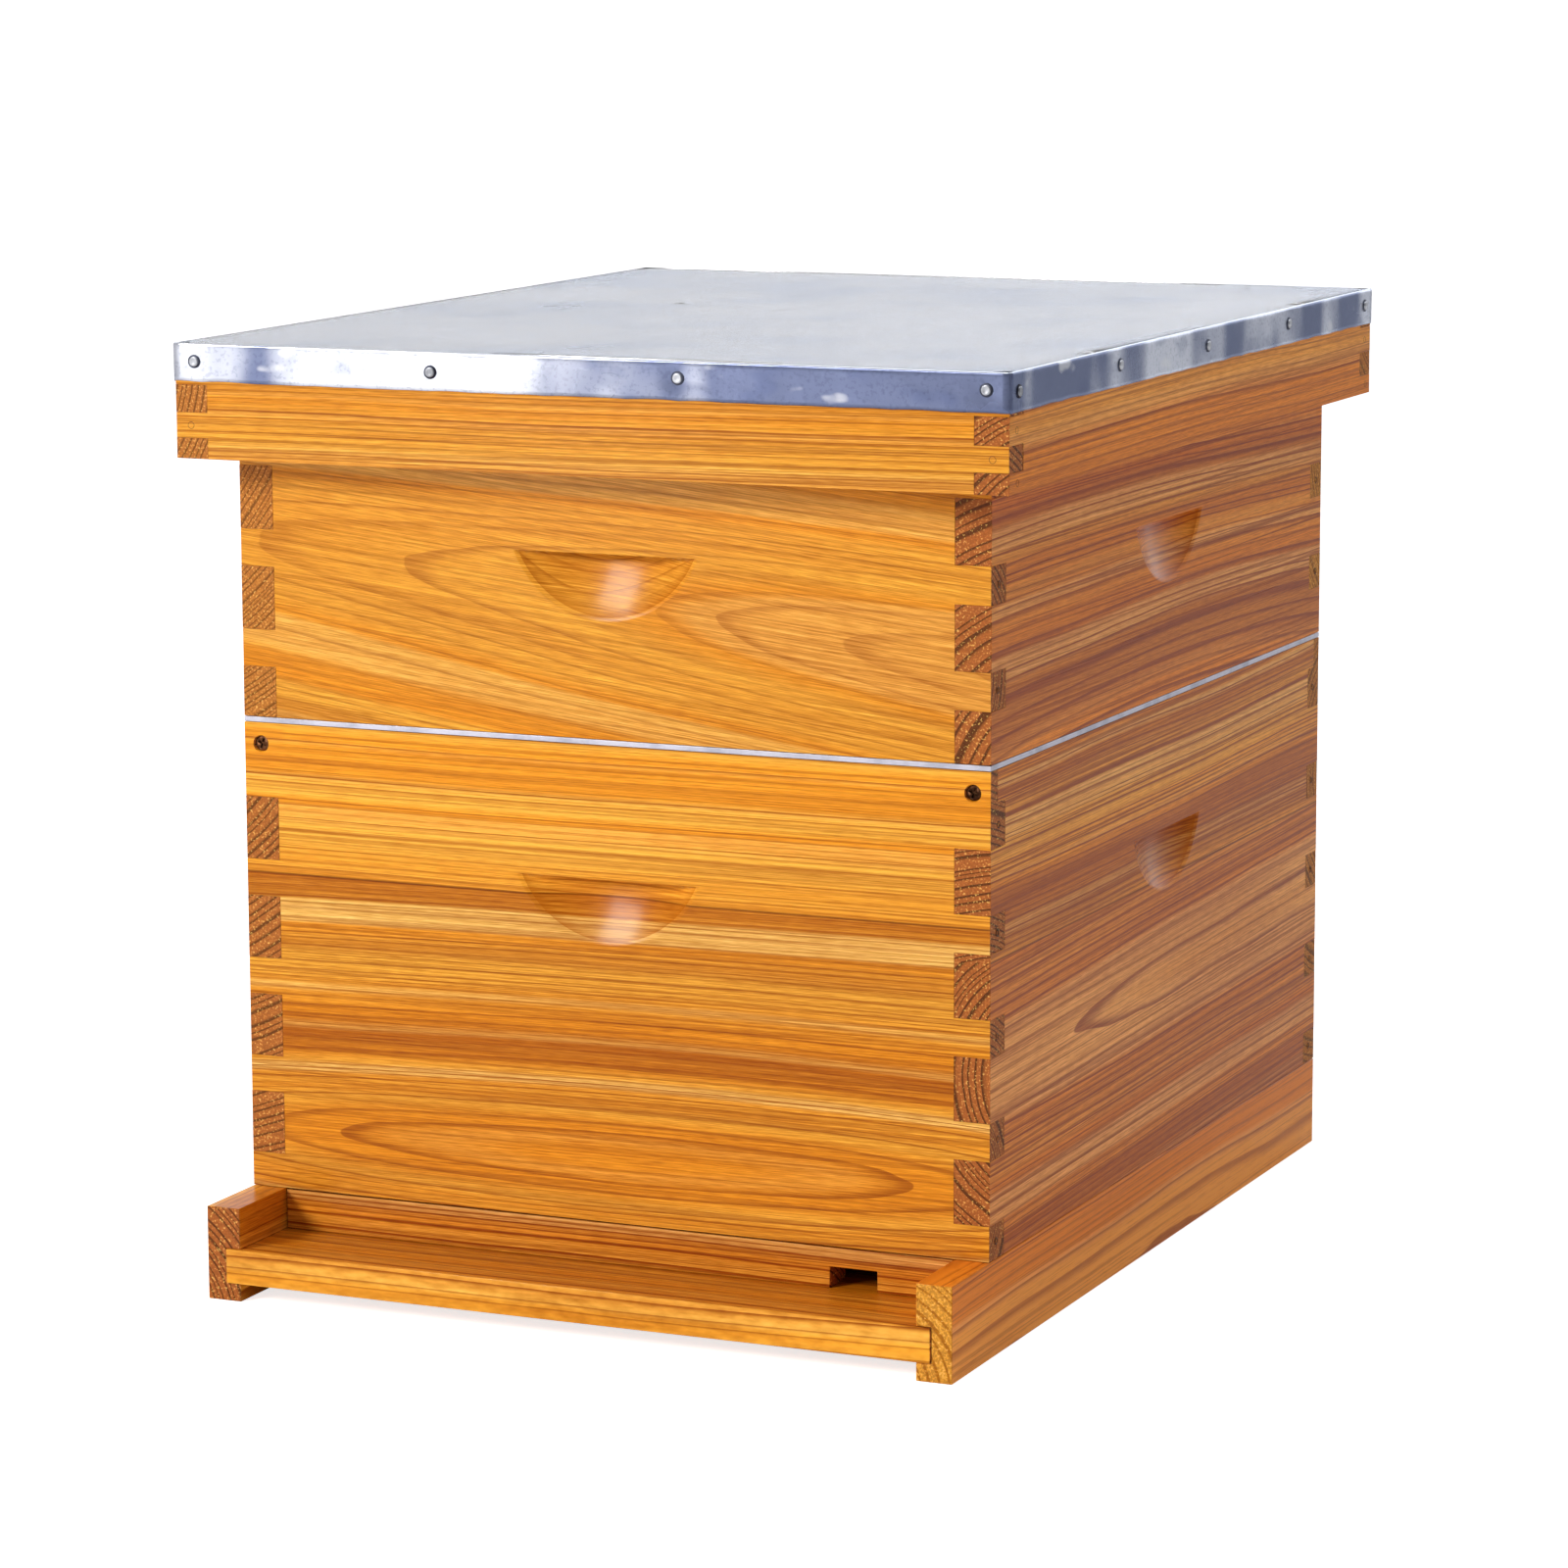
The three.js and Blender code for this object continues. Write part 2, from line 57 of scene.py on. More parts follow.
BOARD = 0.019
JOINT_GAP = 0.0001
THROUGH = 0.001
TOP_FINGER = 0.03875
SIDE_FINGER = 0.0325
END_FINGER = 0.01925
RABBET_DEPTH = 0.016
RABBET_LEDGE = 0.010
SCOOP_TOP_DEEP = 0.068
SCOOP_TOP_MEDIUM = 0.075
SCOOP_RADIUS = 0.055
SCOOP_RISE = 0.021
SCOOP_DEPTH = 0.0135
SCREW_DOWN = 0.011
SCREW_INSET = 0.0095
SCREW_SUNK = 0.0015
SCREW_HEAD = 0.004
FLOOR_T = 0.018
UNDER_H = 0.0095
DADO = 0.008
COVER_BOARD = 0.018
COVER_FINGERS = (0.0105, 0.0235, 0.0375)
EXCLUDER_RIM = 0.019
FRAME_HALF = 0.224
END_BAR = 0.0095

# ---------- sizes that only the look has ----------

EASED = 0.0005  # the rounding of a planed edge
EASED_BAR = 0.0004
EASED_PANEL = 0.0003
EASED_METAL = 0.00015
END_SUNK = 0.00025  # how far a finger's end may lie below its neighbour
SHORTEST_NAILED = 0.008  # a finger lower than this has no nail
# the radius and depth of the countersunk hole, from its mouth to its bottom
POCKET_MOUTH = ((0, -THROUGH), (0.0046, -THROUGH), (0.0042, SCREW_SUNK))
SCREW_POCKET = (*POCKET_MOUTH, (0.0022, 0.0052), (0.0022, 0.012), (0, 0.012))
SIDES = ("front", "back", "left", "right")


# ---------- node trees ----------


class Value:
    """A number in a node tree. Arithmetic on it adds math nodes."""

    def __init__(self, graph, socket):
        self.graph = graph
        self.socket = socket

    def __add__(self, other):
        return self.graph.math("ADD", self, other)

    def __sub__(self, other):
        return self.graph.math("SUBTRACT", self, other)

    def __mul__(self, other):
        return self.graph.math("MULTIPLY", self, other)

    def __truediv__(self, other):
        return self.graph.math("DIVIDE", self, other)


class Graph:
    """The node tree of a material or of the sky, with short ways to add the nodes used here."""

    def __init__(self, owner, shader="Principled BSDF"):
        owner.use_nodes = True
        self.owner = owner
        self.tree = owner.node_tree
        self.shader = self.tree.nodes[shader]

    def plug(self, socket, value):
        if isinstance(value, Value):
            self.tree.links.new(value.socket, socket)
        else:
            socket.default_value = value

    def add(self, kind, inputs, output=0, **settings):
        """Adds a node. Its inputs are given by name or by number. Returns one of its outputs."""
        node = self.tree.nodes.new(f"ShaderNode{kind}")
        for name, setting in settings.items():
            setattr(node, name, setting)
        for key, value in inputs.items():
            self.plug(node.inputs[key], value)
        return Value(self, node.outputs[output])

    def math(self, operation, *values):
        return self.add("Math", dict(enumerate(values)), operation=operation)

    def clamp(self, value):
        return self.math("MAXIMUM", self.math("MINIMUM", value, 1.0), 0.0)

    def attribute(self, name):
        return self.add("Attribute", {}, "Vector", attribute_name=name)

    def place(self):
        return self.add("TexCoord", {}, "Object")

    def normal(self):
        return self.add("NewGeometry", {}, "True Normal")

    def split(self, vector):
        node = self.tree.nodes.new("ShaderNodeSeparateXYZ")
        self.plug(node.inputs[0], vector)
        return [Value(self, output) for output in node.outputs]

    def noise(self, vector, detail=2.0, roughness=0.5, scale=1.0):
        inputs = {"Vector": vector, "Scale": scale, "Detail": detail, "Roughness": roughness}
        return self.add("TexNoise", inputs)

    def figure(self, parts, scales, **more):
        """Noise as fine along each of three numbers as that number's scale says."""
        scaled = [part * scale for part, scale in zip(parts, scales)]
        return self.noise(self.add("CombineXYZ", dict(enumerate(scaled))), **more)

    def wave_of(self, value, detail=1.0):
        """Smooth random variation along one number."""
        return self.add("TexNoise", {"W": value, "Scale": 1.0, "Detail": detail}, noise_dimensions="1D")

    def cells(self, vector, feature="F1", scale=1.0, randomness=1.0, output="Distance"):
        inputs = {"Vector": vector, "Scale": scale, "Randomness": randomness}
        return self.add("TexVoronoi", inputs, output, feature=feature)

    def random_of(self, value):
        return self.add("TexWhiteNoise", {"W": value}, "Value", noise_dimensions="1D")

    def step(self, value, low, high):
        """0 below low, 1 above high, and smooth between. low may be above high."""
        inputs = {"Value": value, "From Min": low, "From Max": high}
        return self.add("MapRange", inputs, interpolation_type="SMOOTHSTEP")

    def mix(self, share, *colours, blend="MIX"):
        first, second = (c if isinstance(c, Value) else (*c, 1.0) for c in colours)
        inputs = {"Factor": share, 6: first, 7: second}
        return self.add("Mix", inputs, 2, data_type="RGBA", blend_type=blend)

    def bump(self, height, distance, strength):
        return self.add("Bump", {"Height": height, "Distance": distance, "Strength": strength})

    def shade(self, **inputs):
        for name, value in inputs.items():
            if isinstance(value, tuple):
                value = (*value, 1.0)
            self.plug(self.shader.inputs[name.replace("_", " ")], value)
        return self.owner


def paint(name):
    return Graph(bpy.data.materials.new(name))


# ---------- materials ----------


def wood(name, pale, warm, line, light, dark, end, gloss, coat, ring=0.0036):
    """Softwood as one body of growth rings, so that faces and end grain agree where they meet.

    Each face corner carries five attributes of three numbers.
    "grain": the distance along the board, and the two offsets from the pith.
    "plank": the pith's bow, the plank's brightness, and its seed.
    "cut": 1 on a face across the fibres, how striped the plank is, and how wide its rings are.
    "tone": how honey-coloured its end grain is, how far away the nearest glued joint is, and 1 at the rim of
    a hand hold, falling to 0.4 at its deepest; the material paints the hand hold's shade from this last
    number.
    "hue": how red the plank is, how dark its lines are, and nothing.
    """
    g = paint(name)
    along, across, deep = g.split(g.attribute("grain"))
    bow, brightness, seed = g.split(g.attribute("plank"))
    ends, striped, wide = g.split(g.attribute("cut"))
    honey, gap, dish = g.split(g.attribute("tone"))
    red, lines, _ = g.split(g.attribute("hue"))
    deep = deep + bow * along * along
    shifted = along + seed * 7.3

    tree = (shifted, across, deep)

    slow = g.figure(tree, (2.4, 8.0, 8.0), detail=1.0)
    small = g.figure(tree, (12.0, 70.0, 70.0))
    radius = g.math("SQRT", across * across + deep * deep)
    radius = radius + (slow - 0.5) * 0.012 + (small - 0.5) * 0.0011
    uneven = g.wave_of(radius * 80.0 + seed * 3.1)
    rings = (radius + (uneven - 0.5) * 0.008) / (wide * ring)
    phase = g.math("FRACT", rings)
    year = g.random_of(g.math("FLOOR", rings))
    late = g.step(phase, 0.50, 0.92) * g.step(phase, 1.0, 0.97)
    late = late * late * (year * 0.62 + 0.34)

    fibre = g.figure(tree, (6.0, 1200.0, 90.0), detail=3.0, roughness=0.65)
    streak = g.figure(tree, (1.6, 560.0, 45.0))
    pores = g.figure(tree, (90.0, 2300.0, 300.0))
    band = g.wave_of(radius * 44.0 + seed * 5.7, detail=2.0)
    heart = g.wave_of(radius * 27.0 + seed * 9.1, detail=2.0)
    sap = g.wave_of(radius * 52.0 + seed * 2.3, detail=2.0)
    patch = g.figure(tree, (3.0, 9.0, 9.0))
    speck = g.figure(tree, (500.0, 900.0, 900.0))

    colour = g.mix(g.step(band, 0.38, 0.62), pale, warm)
    heartwood = g.step(heart, 0.46, 0.62) * g.step(radius, 0.046, 0.062)
    colour = g.mix(heartwood * striped, colour, dark)
    colour = g.mix(g.step(sap, 0.52, 0.64) * striped, colour, light)
    colour = g.mix(g.clamp(late * lines), colour, line)
    colour = g.mix(g.clamp(g.step(streak, 0.50, 0.64) * lines * 0.44), colour, line)
    colour = g.mix(g.step(patch, 0.46, 0.72) * 0.26, colour, dark)
    colour = g.mix(g.step(gap, 0.0007, 0.0003) * 0.72, colour, [c * 0.4 for c in line])
    # Painted shade in the hand hold: the whole dish is a little darker, partly the stain its cut fibres take
    # up and partly painted shade, and its rim gets a strong painted shadow line, with some stain built up
    # there.
    scoop = g.step(dish, 0.1, 0.3)
    rim = g.step(dish, 0.84, 1.0)
    colour = g.mix((scoop - rim) * 0.14, colour, dark)
    colour = g.mix(rim * 0.72, colour, dark)
    colour = g.mix(red, colour, g.mix(1.0, colour, (0.99, 0.70, 0.85), blend="MULTIPLY"))
    shade = g.clamp((fibre - 0.5) * 0.86 + (pores - 0.5) * 0.66 + brightness * 0.8) * 1.25
    tint = g.add("CombineXYZ", {0: shade, 1: g.math("POWER", shade, 1.5), 2: g.math("POWER", shade, 2.4)})
    colour = g.mix(1.0, colour, tint, blend="MULTIPLY")

    cut = g.mix(honey, end, pale)
    cut_line = g.mix(honey, [c * 0.20 for c in end], [c * 0.68 for c in warm])
    cut = g.mix(g.clamp(late * 3.2), cut, cut_line)
    cut = g.mix(g.step(speck, 0.40, 0.62) * 0.46, cut, [c * 0.45 for c in end])
    cut = g.mix(g.step(speck, 0.42, 0.28) * 0.80, cut, light)
    colour = g.mix(ends, colour, cut)

    rough = (fibre - 0.5) * 0.16 + late * -0.05 + ends * 0.30 - dish * 0.12 + gloss
    height = late * 0.45 + fibre * 0.50 + pores * 0.30 + ends * speck * 1.6
    g.shade(Base_Color=colour, Roughness=g.clamp(rough), Normal=g.bump(height, 0.00018, 0.5))
    return g.shade(IOR=1.46, Specular_IOR_Level=0.07, Coat_Weight=coat, Coat_Roughness=0.16)


def plywood(name, pale, dark, gloss):
    g = paint(name)
    parts = g.split(g.place())
    loops = g.math("FRACT", g.figure(parts, (9.0, 2.0, 9.0)) * 9.0)
    fibre = g.figure(parts, (700.0, 12.0, 700.0), detail=3.0)
    veneer = 0.003
    ply = g.math("FRACT", parts[2] / veneer)
    layers = g.step(ply, 0.45, 0.5) * g.step(ply, 0.98, 0.93)
    upright = g.math("ABSOLUTE", g.split(g.normal())[2])
    colour = g.mix(g.step(loops, 0.3, 0.95) * 0.5, pale, dark)
    colour = g.mix(g.step(fibre, 0.35, 0.7) * 0.35, colour, dark)
    edge = g.mix(layers, pale, [c * 0.5 for c in dark])
    colour = g.mix(g.step(upright, 0.6, 0.4), colour, edge)
    rough = (fibre - 0.5) * 0.2 + gloss
    return g.shade(Base_Color=colour, Roughness=rough, Normal=g.bump(fibre, 0.0002, 0.4))


def galvanised(name):
    """Zinc-coated sheet: spangle, rolling streaks, smudges, and a folded edge with creases.

    The folded edge is painted a little darker than the top, with painted dark reflections in patches, most of
    them at the right of the front, and painted shade and highlights along its creases.
    """
    g = paint(name)
    place = g.place()
    parts = g.split(place)
    x, y, _ = parts
    flat = g.step(g.math("ABSOLUTE", g.split(g.normal())[2]), 0.5, 0.8)
    spangle = g.random_of(g.cells(place, scale=85.0, output="Color"))
    streak = g.figure(parts, (3.0, 160.0, 40.0), detail=3.0)
    smudge = g.noise(place, scale=9.0)
    folds = g.figure(parts, (13.0, 13.0, 5.0))
    crease = g.figure(parts, (34.0, 34.0, 60.0))
    grain = g.noise(place, detail=3.0, scale=520.0)
    bright = (0.95, 0.97, 1.0)
    dull = (0.79, 0.85, 0.99)
    # shadow: the colour of the painted dark reflections on the folded edge
    shadow = (0.09, 0.12, 0.26)
    colour = g.mix(g.step(smudge, 0.42, 0.78) * 0.6, bright, dull)
    colour = g.mix(spangle * 0.08, colour, dull)
    colour = g.mix(g.step(streak, 0.5, 0.8) * 0.15, colour, bright)
    # Painted dark reflections on the folded edge: heavier at the right of the front, lighter to the left and
    # along the sides and back.
    right = g.step(x, -0.02, 0.12) * 0.33
    left = g.step(x, -0.08, -0.20) * 0.04
    behind = g.step(y, -0.27, -0.24) * 0.24
    dark_reflection_mask = folds + right - left - behind - 0.05
    # The folded edge is painted a little darker than the top (painted shade), and dark where the mask is high
    # (painted dark reflection).
    edge = g.mix(g.step(dark_reflection_mask, 0.45, 0.60) * 0.90, (0.84, 0.87, 0.97), shadow)
    # painted shade along the creases
    edge = g.mix(g.step(crease, 0.54, 0.70) * 0.35, edge, shadow)
    edge = g.mix(g.step(grain, 0.52, 0.66) * 0.22, edge, [c * 0.5 for c in shadow])
    # painted highlight along the creases
    edge = g.mix(g.step(crease, 0.38, 0.28) * 0.60, edge, (0.97, 0.98, 1.0))
    colour = g.mix(flat, edge, colour)
    rough = (smudge - 0.5) * 0.16 + (spangle - 0.5) * 0.02 + 0.24
    height = smudge * 0.25 + (folds * 1.6 + crease * 0.9 + grain * 0.1) * (flat * -1.0 + 1.0)
    g.shade(Metallic=0.62, Specular_Tint=(0.80, 0.87, 1.0))
    return g.shade(Base_Color=colour, Roughness=rough, Normal=g.bump(height, 0.0009, 0.40))


def bare_metal(name, colour, stain, gloss):
    g = paint(name)
    place = g.place()
    cloud = g.noise(place, detail=4.0, scale=60.0)
    grit = g.noise(place, detail=3.0, scale=900.0)
    mixed = g.mix(g.step(cloud, 0.42, 0.68), colour, stain)
    rough = (grit - 0.5) * 0.3 + gloss
    return g.shade(Base_Color=mixed, Roughness=rough, Normal=g.bump(grit, 0.0001, 0.5), Metallic=1.0)


def beeswax(name):
    """Foundation: a wax sheet pressed with the pattern of the cells."""
    g = paint(name)
    parts = g.split(g.place())
    _, y, z = parts
    cell = 0.0054  # the width of a worker bee's cell
    spot = g.add("CombineXYZ", {0: y / cell, 1: z / cell})
    walls = g.cells(spot, feature="DISTANCE_TO_EDGE", randomness=0.12)
    cloud = g.figure(parts, (20.0, 20.0, 20.0), detail=3.0)
    rim = g.step(walls, 0.16, 0.04)
    colour = g.mix(g.step(cloud, 0.35, 0.7), (0.86, 0.60, 0.14), (0.72, 0.42, 0.07))
    colour = g.mix(rim * 0.6, colour, (0.95, 0.78, 0.34))
    g.shade(Base_Color=colour, Roughness=(cloud - 0.5) * 0.2 + 0.42, Normal=g.bump(rim, 0.0008, 0.8))
    return g.shade(Subsurface_Weight=0.15, Subsurface_Scale=0.004)


WAXED = wood(
    "waxed_softwood",
    pale=(0.86, 0.395, 0.042),
    warm=(0.80, 0.282, 0.013),
    line=(0.34, 0.076, 0.002),
    light=(0.93, 0.53, 0.13),
    dark=(0.46, 0.118, 0.004),
    end=(0.46, 0.132, 0.028),
    gloss=0.34,
    coat=0.14,
)
PLANED = wood(
    "planed_pine",
    pale=(0.78, 0.56, 0.30),
    warm=(0.70, 0.46, 0.21),
    line=(0.46, 0.25, 0.09),
    light=(0.84, 0.64, 0.38),
    dark=(0.60, 0.37, 0.16),
    end=(0.56, 0.36, 0.17),
    gloss=0.58,
    coat=0.0,
    ring=0.0028,
)
PLY = plywood("sanded_plywood", pale=(0.60, 0.41, 0.21), dark=(0.40, 0.23, 0.09), gloss=0.55)
SHEET_METAL = galvanised("galvanised_sheet")
ZINC = bare_metal("zinc_plate", colour=(0.60, 0.59, 0.68), stain=(0.44, 0.44, 0.52), gloss=0.38)
RUSTY = bare_metal("rusty_nail", colour=(0.17, 0.075, 0.035), stain=(0.05, 0.022, 0.012), gloss=0.5)
NAIL = bare_metal("nail_steel", colour=(0.55, 0.57, 0.62), stain=(0.30, 0.31, 0.34), gloss=0.35)
# A dark disc under each nail head on the sheet: painted shade round the nail.
NAIL_SHADE = bare_metal("nail_shade_dark", colour=(0.10, 0.11, 0.15), stain=(0.035, 0.035, 0.05), gloss=0.55)
WAX = beeswax("beeswax_foundation")


# ---------- solids ----------


def mesh_object(name, bm):
    mesh = bpy.data.meshes.new(name)
    bm.to_mesh(mesh)
    bm.free()
    made = bpy.data.objects.new(name, mesh)
    bpy.context.scene.collection.objects.link(made)
    return made


def add_part(bm, part):
    """Adds the mesh part to the mesh bm."""
    holder = bpy.data.meshes.new("part")
    part.to_mesh(holder)
    part.free()
    bm.from_mesh(holder)
    bpy.data.meshes.remove(holder)


def grid_faces(bm, grid):
    """Smooth four-sided faces between the neighbouring points of a grid."""
    rows = [[bm.verts.new(point) for point in row] for row in grid]
    for low, high in zip(rows, rows[1:]):
        for n in range(len(low) - 1):
            bm.faces.new((low[n], low[n + 1], high[n + 1], high[n])).smooth = True


def extruded(outline, shift):
    """The closed solid that a flat outline sweeps when it is shifted."""
    bm = bmesh.new()
    face = bm.faces.new([bm.verts.new(point) for point in outline])
    made = bmesh.ops.extrude_face_region(bm, geom=[face])
    moved = [v for v in made["geom"] if isinstance(v, bmesh.types.BMVert)]
    bmesh.ops.translate(bm, verts=moved, vec=shift)
    bmesh.ops.recalc_face_normals(bm, faces=bm.faces)
    return bm


def everywhere(x, y, z):
    return True


def cell_solid(xs, ys, zs, filled=everywhere):
    """The solid made of those cells of a grid whose middles are filled, with clean flat faces."""
    xs, ys, zs = (sorted(set(round(v, 7) for v in cuts)) for cuts in (xs, ys, zs))
    cuts = (xs, ys, zs)
    counts = [len(c) - 1 for c in cuts]

    def solid(i, j, k):
        index = (i, j, k)
        if any(n < 0 or n >= count for n, count in zip(index, counts)):
            return False
        return filled(*((c[n] + c[n + 1]) / 2 for c, n in zip(cuts, index)))

    bm = bmesh.new()
    corners = {}

    def corner(i, j, k):
        if (i, j, k) not in corners:
            corners[i, j, k] = bm.verts.new((xs[i], ys[j], zs[k]))
        return corners[i, j, k]

    for index in product(*(range(count) for count in counts)):
        if not solid(*index):
            continue
        for axis, side in product(range(3), (0, 1)):
            beside = list(index)
            beside[axis] += 2 * side - 1
            if solid(*beside):
                continue
            ring = []
            for a, b in ((0, 0), (1, 0), (1, 1), (0, 1)):
                at = list(index)
                at[axis] += side
                at[(axis + 1) % 3] += a
                at[(axis + 2) % 3] += b
                ring.append(corner(*at))
            bm.faces.new(ring if side else ring[::-1])
    bmesh.ops.dissolve_limit(bm, angle_limit=0.01, verts=bm.verts, edges=bm.edges)
    return bm


def ease(bm, offset=EASED):
    """Rounds every edge a little, as a planer and some sanding leave it."""
    edges = [e for e in bm.edges if e.is_manifold and e.calc_face_angle(0) > 0.3]
    made = bmesh.ops.bevel(
        bm, geom=edges, offset=offset, segments=2, profile=0.5, affect="EDGES", clamp_overlap=True
    )
    for face in made["faces"]:
        face.smooth = True
    return bm


def turned(profile, sides):
    """A closed solid of revolution about +Y, from (radius, y) points that start and end on the axis."""
    bm = bmesh.new()
    rings = []
    for radius, y in profile:
        if radius < 1e-7:
            rings.append([bm.verts.new((0, y, 0))])
            continue
        turns = [2 * math.pi * n / sides for n in range(sides)]
        rings.append([bm.verts.new((radius * math.cos(t), y, radius * math.sin(t))) for t in turns])
    for low, high in zip(rings, rings[1:]):
        for n in range(sides):
            m = (n + 1) % sides
            ring = [low[n % len(low)], low[m % len(low)], high[m % len(high)], high[n % len(high)]]
            bm.faces.new(list(dict.fromkeys(ring))).smooth = True
    bmesh.ops.recalc_face_normals(bm, faces=bm.faces)
    return bm


def carve(made, bm):
    """Cuts the closed solid bm out of an object."""
    cutter = mesh_object("cutter", bm)
    modifier = made.modifiers.new("carve", "BOOLEAN")
    modifier.operation = "DIFFERENCE"
    modifier.solver = "EXACT"
    modifier.object = cutter
    bpy.context.view_layer.update()
    evaluated = made.evaluated_get(bpy.context.evaluated_depsgraph_get())
    cut = bpy.data.meshes.new_from_object(evaluated)
    made.modifiers.clear()
    old = made.data
    made.data = cut
    bpy.data.meshes.remove(old)
    bpy.data.objects.remove(cutter)


def scoop_solid(height):
    """The hand hold's dished cut, with its flat upper edge, for a board of that height."""
    rings, sides = 26, 128
    deep_box = height > 0.2
    edge = height - (SCOOP_TOP_DEEP if deep_box else SCOOP_TOP_MEDIUM)
    profile = [(0, -THROUGH), (SCOOP_RADIUS, -THROUGH)]
    for n in range(rings + 1):
        radius = SCOOP_RADIUS * (1 - n / rings)
        profile.append((radius, SCOOP_DEPTH * (1 - (radius / SCOOP_RADIUS) ** 2)))
    bm = turned(profile, sides)
    bmesh.ops.translate(bm, verts=bm.verts, vec=(0, 0, edge + SCOOP_RISE))
    whole = [*bm.verts, *bm.edges, *bm.faces]
    halves = bmesh.ops.bisect_plane(
        bm, geom=whole, plane_co=(0, 0, edge), plane_no=(0, 0, 1), clear_outer=True
    )
    rim = [e for e in halves["geom_cut"] if isinstance(e, bmesh.types.BMEdge)]
    bmesh.ops.edgenet_fill(bm, edges=rim)
    bmesh.ops.recalc_face_normals(bm, faces=bm.faces)
    return bm


# ---------- grain ----------


@dataclass
class Plank:
    """Where a plank lay in its tree: the pith's place across and behind it, its slopes, bow and shade.

    low is where the plank starts, in a board glued up from several. stripe is how strongly light and dark
    bands show in it, wide scales the width of its rings, honey is how yellow its end grain is, outside
    scales the brightness of its outer face alone, which paints shade on that face where it is below 1, red is
    how red-brown the plank is and lines how dark its growth lines are.
    """

    low: float = -1.0
    pith: tuple = (0.05, 0.06)
    slope: tuple = (0.0, 0.0)
    bow: float = 0.0
    shade: float = 1.0
    seed: float = 1.0
    stripe: float = 0.25
    wide: float = 1.0
    honey: float = 0.0
    outside: float = 1.0
    red: float = 0.0
    lines: float = 1.0


def random_plank(seed, height):
    draw = random.Random(seed)
    return Plank(
        pith=(draw.uniform(-0.3, 1.3) * max(height, 0.15), draw.uniform(0.03, 0.12)),
        slope=(draw.uniform(-0.02, 0.02), draw.uniform(-0.06, 0.06)),
        bow=draw.uniform(-0.1, 0.3),
        shade=draw.uniform(0.90, 1.04),
        seed=draw.uniform(1, 60),
        stripe=draw.uniform(0.15, 0.6),
        wide=draw.uniform(0.8, 1.4),
        honey=draw.uniform(0.0, 0.5),
        red=draw.uniform(0.0, 0.6),
        lines=draw.uniform(0.7, 1.1),
    )


def set_grain(made, planks):
    """Gives each face corner its place in the tree its plank was sawn from."""
    mesh = made.data
    planks = sorted(planks, key=lambda plank: plank.low)
    for plank in planks[1:]:
        bm = bmesh.new()
        bm.from_mesh(mesh)
        geometry = [*bm.verts, *bm.edges, *bm.faces]
        bmesh.ops.bisect_plane(bm, geom=geometry, plane_co=(0, 0, plank.low), plane_no=(0, 0, 1))
        bm.to_mesh(mesh)
        bm.free()
    names = ("grain", "plank", "cut", "tone", "hue")
    layers = {name: np.zeros((len(mesh.loops), 3), np.float32) for name in names}
    joints = [plank.low for plank in planks[1:]]
    normals = mesh.corner_normals
    for face in mesh.polygons:
        plank = [p for p in planks if p.low <= face.center.z or p is planks[0]][-1]
        scooped = -0.995 < face.normal.y < -0.5 and face.center.y > 0.0006
        for n in face.loop_indices:
            x, y, z = mesh.vertices[mesh.loops[n].vertex_index].co
            normal = normals[n].vector
            across = z - plank.pith[0] - plank.slope[0] * x
            deep = y + plank.pith[1] + plank.slope[1] * x
            # outside below 1 is painted shade on the plank's outer face, the landing's top
            outside = plank.outside if normal.y < -0.5 else 1
            tilt = min(max((abs(normal.x) - 0.45) / 0.4, 0), 1)
            gap = min([abs(z - joint) for joint in joints], default=1)
            # dish marks the hand hold for its painted shade and smoother finish in the material
            dish = scooped * (1 - 0.6 * min(y / SCOOP_DEPTH, 1))
            layers["grain"][n] = (x, across, deep)
            layers["plank"][n] = (plank.bow, plank.shade * outside, plank.seed)
            layers["cut"][n] = (tilt, plank.stripe, plank.wide)
            layers["tone"][n] = (plank.honey, gap, dish)
            layers["hue"][n] = (plank.red, plank.lines, 0)
    for name, numbers in layers.items():
        layer = mesh.attributes.new(name, "FLOAT_VECTOR", "CORNER")
        layer.data.foreach_set("vector", numbers.ravel())


# ---------- placing ----------


def finish_piece(made, place, material, slot, body, *nodes):
    """Puts a piece in its place with its material, on its body, in place of the CAD nodes it stands for."""
    made.data.transform(place)
    made.data.materials.append(material)
    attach(made, body)
    if nodes:
        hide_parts(*nodes)


def outwards(node, side):
    """The place of a wall board whose outer face looks to that side, from its CAD box."""
    low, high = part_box(node)
    middle = (low + high) / 2
    spots = {
        "front": ((middle.x, low.y, low.z), 0),
        "back": ((middle.x, high.y, low.z), 180),
        "left": ((low.x, middle.y, low.z), -90),
        "right": ((high.x, middle.y, low.z), 90),
    }
    spot, turn = spots[side]
    return Matrix.Translation(spot) @ Matrix.Rotation(math.radians(turn), 4, "Z")


def centred(node, height):
    """The place of a piece that lies over the middle of its CAD box, at that height."""
    low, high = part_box(node)
    return Matrix.Translation(((low.x + high.x) / 2, (low.y + high.y) / 2, height))


def sizes(node):
    low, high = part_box(node)
    return high - low


def length_and_height(node):
    size = sizes(node)
    return max(size.x, size.y), size.z


def finish_board(made, node, side, body):
    finish_piece(made, outwards(node, side), WAXED, "cedar", body, node)


# ---------- hive bodies ----------


def side_fingers(height):
    """The heights at which the side boards show their end grain on the front."""
    spans = []
    top = height - TOP_FINGER
    while top > 0:
        spans.append((max(top - SIDE_FINGER, 0), top))
        top -= SIDE_FINGER + END_FINGER
    return spans


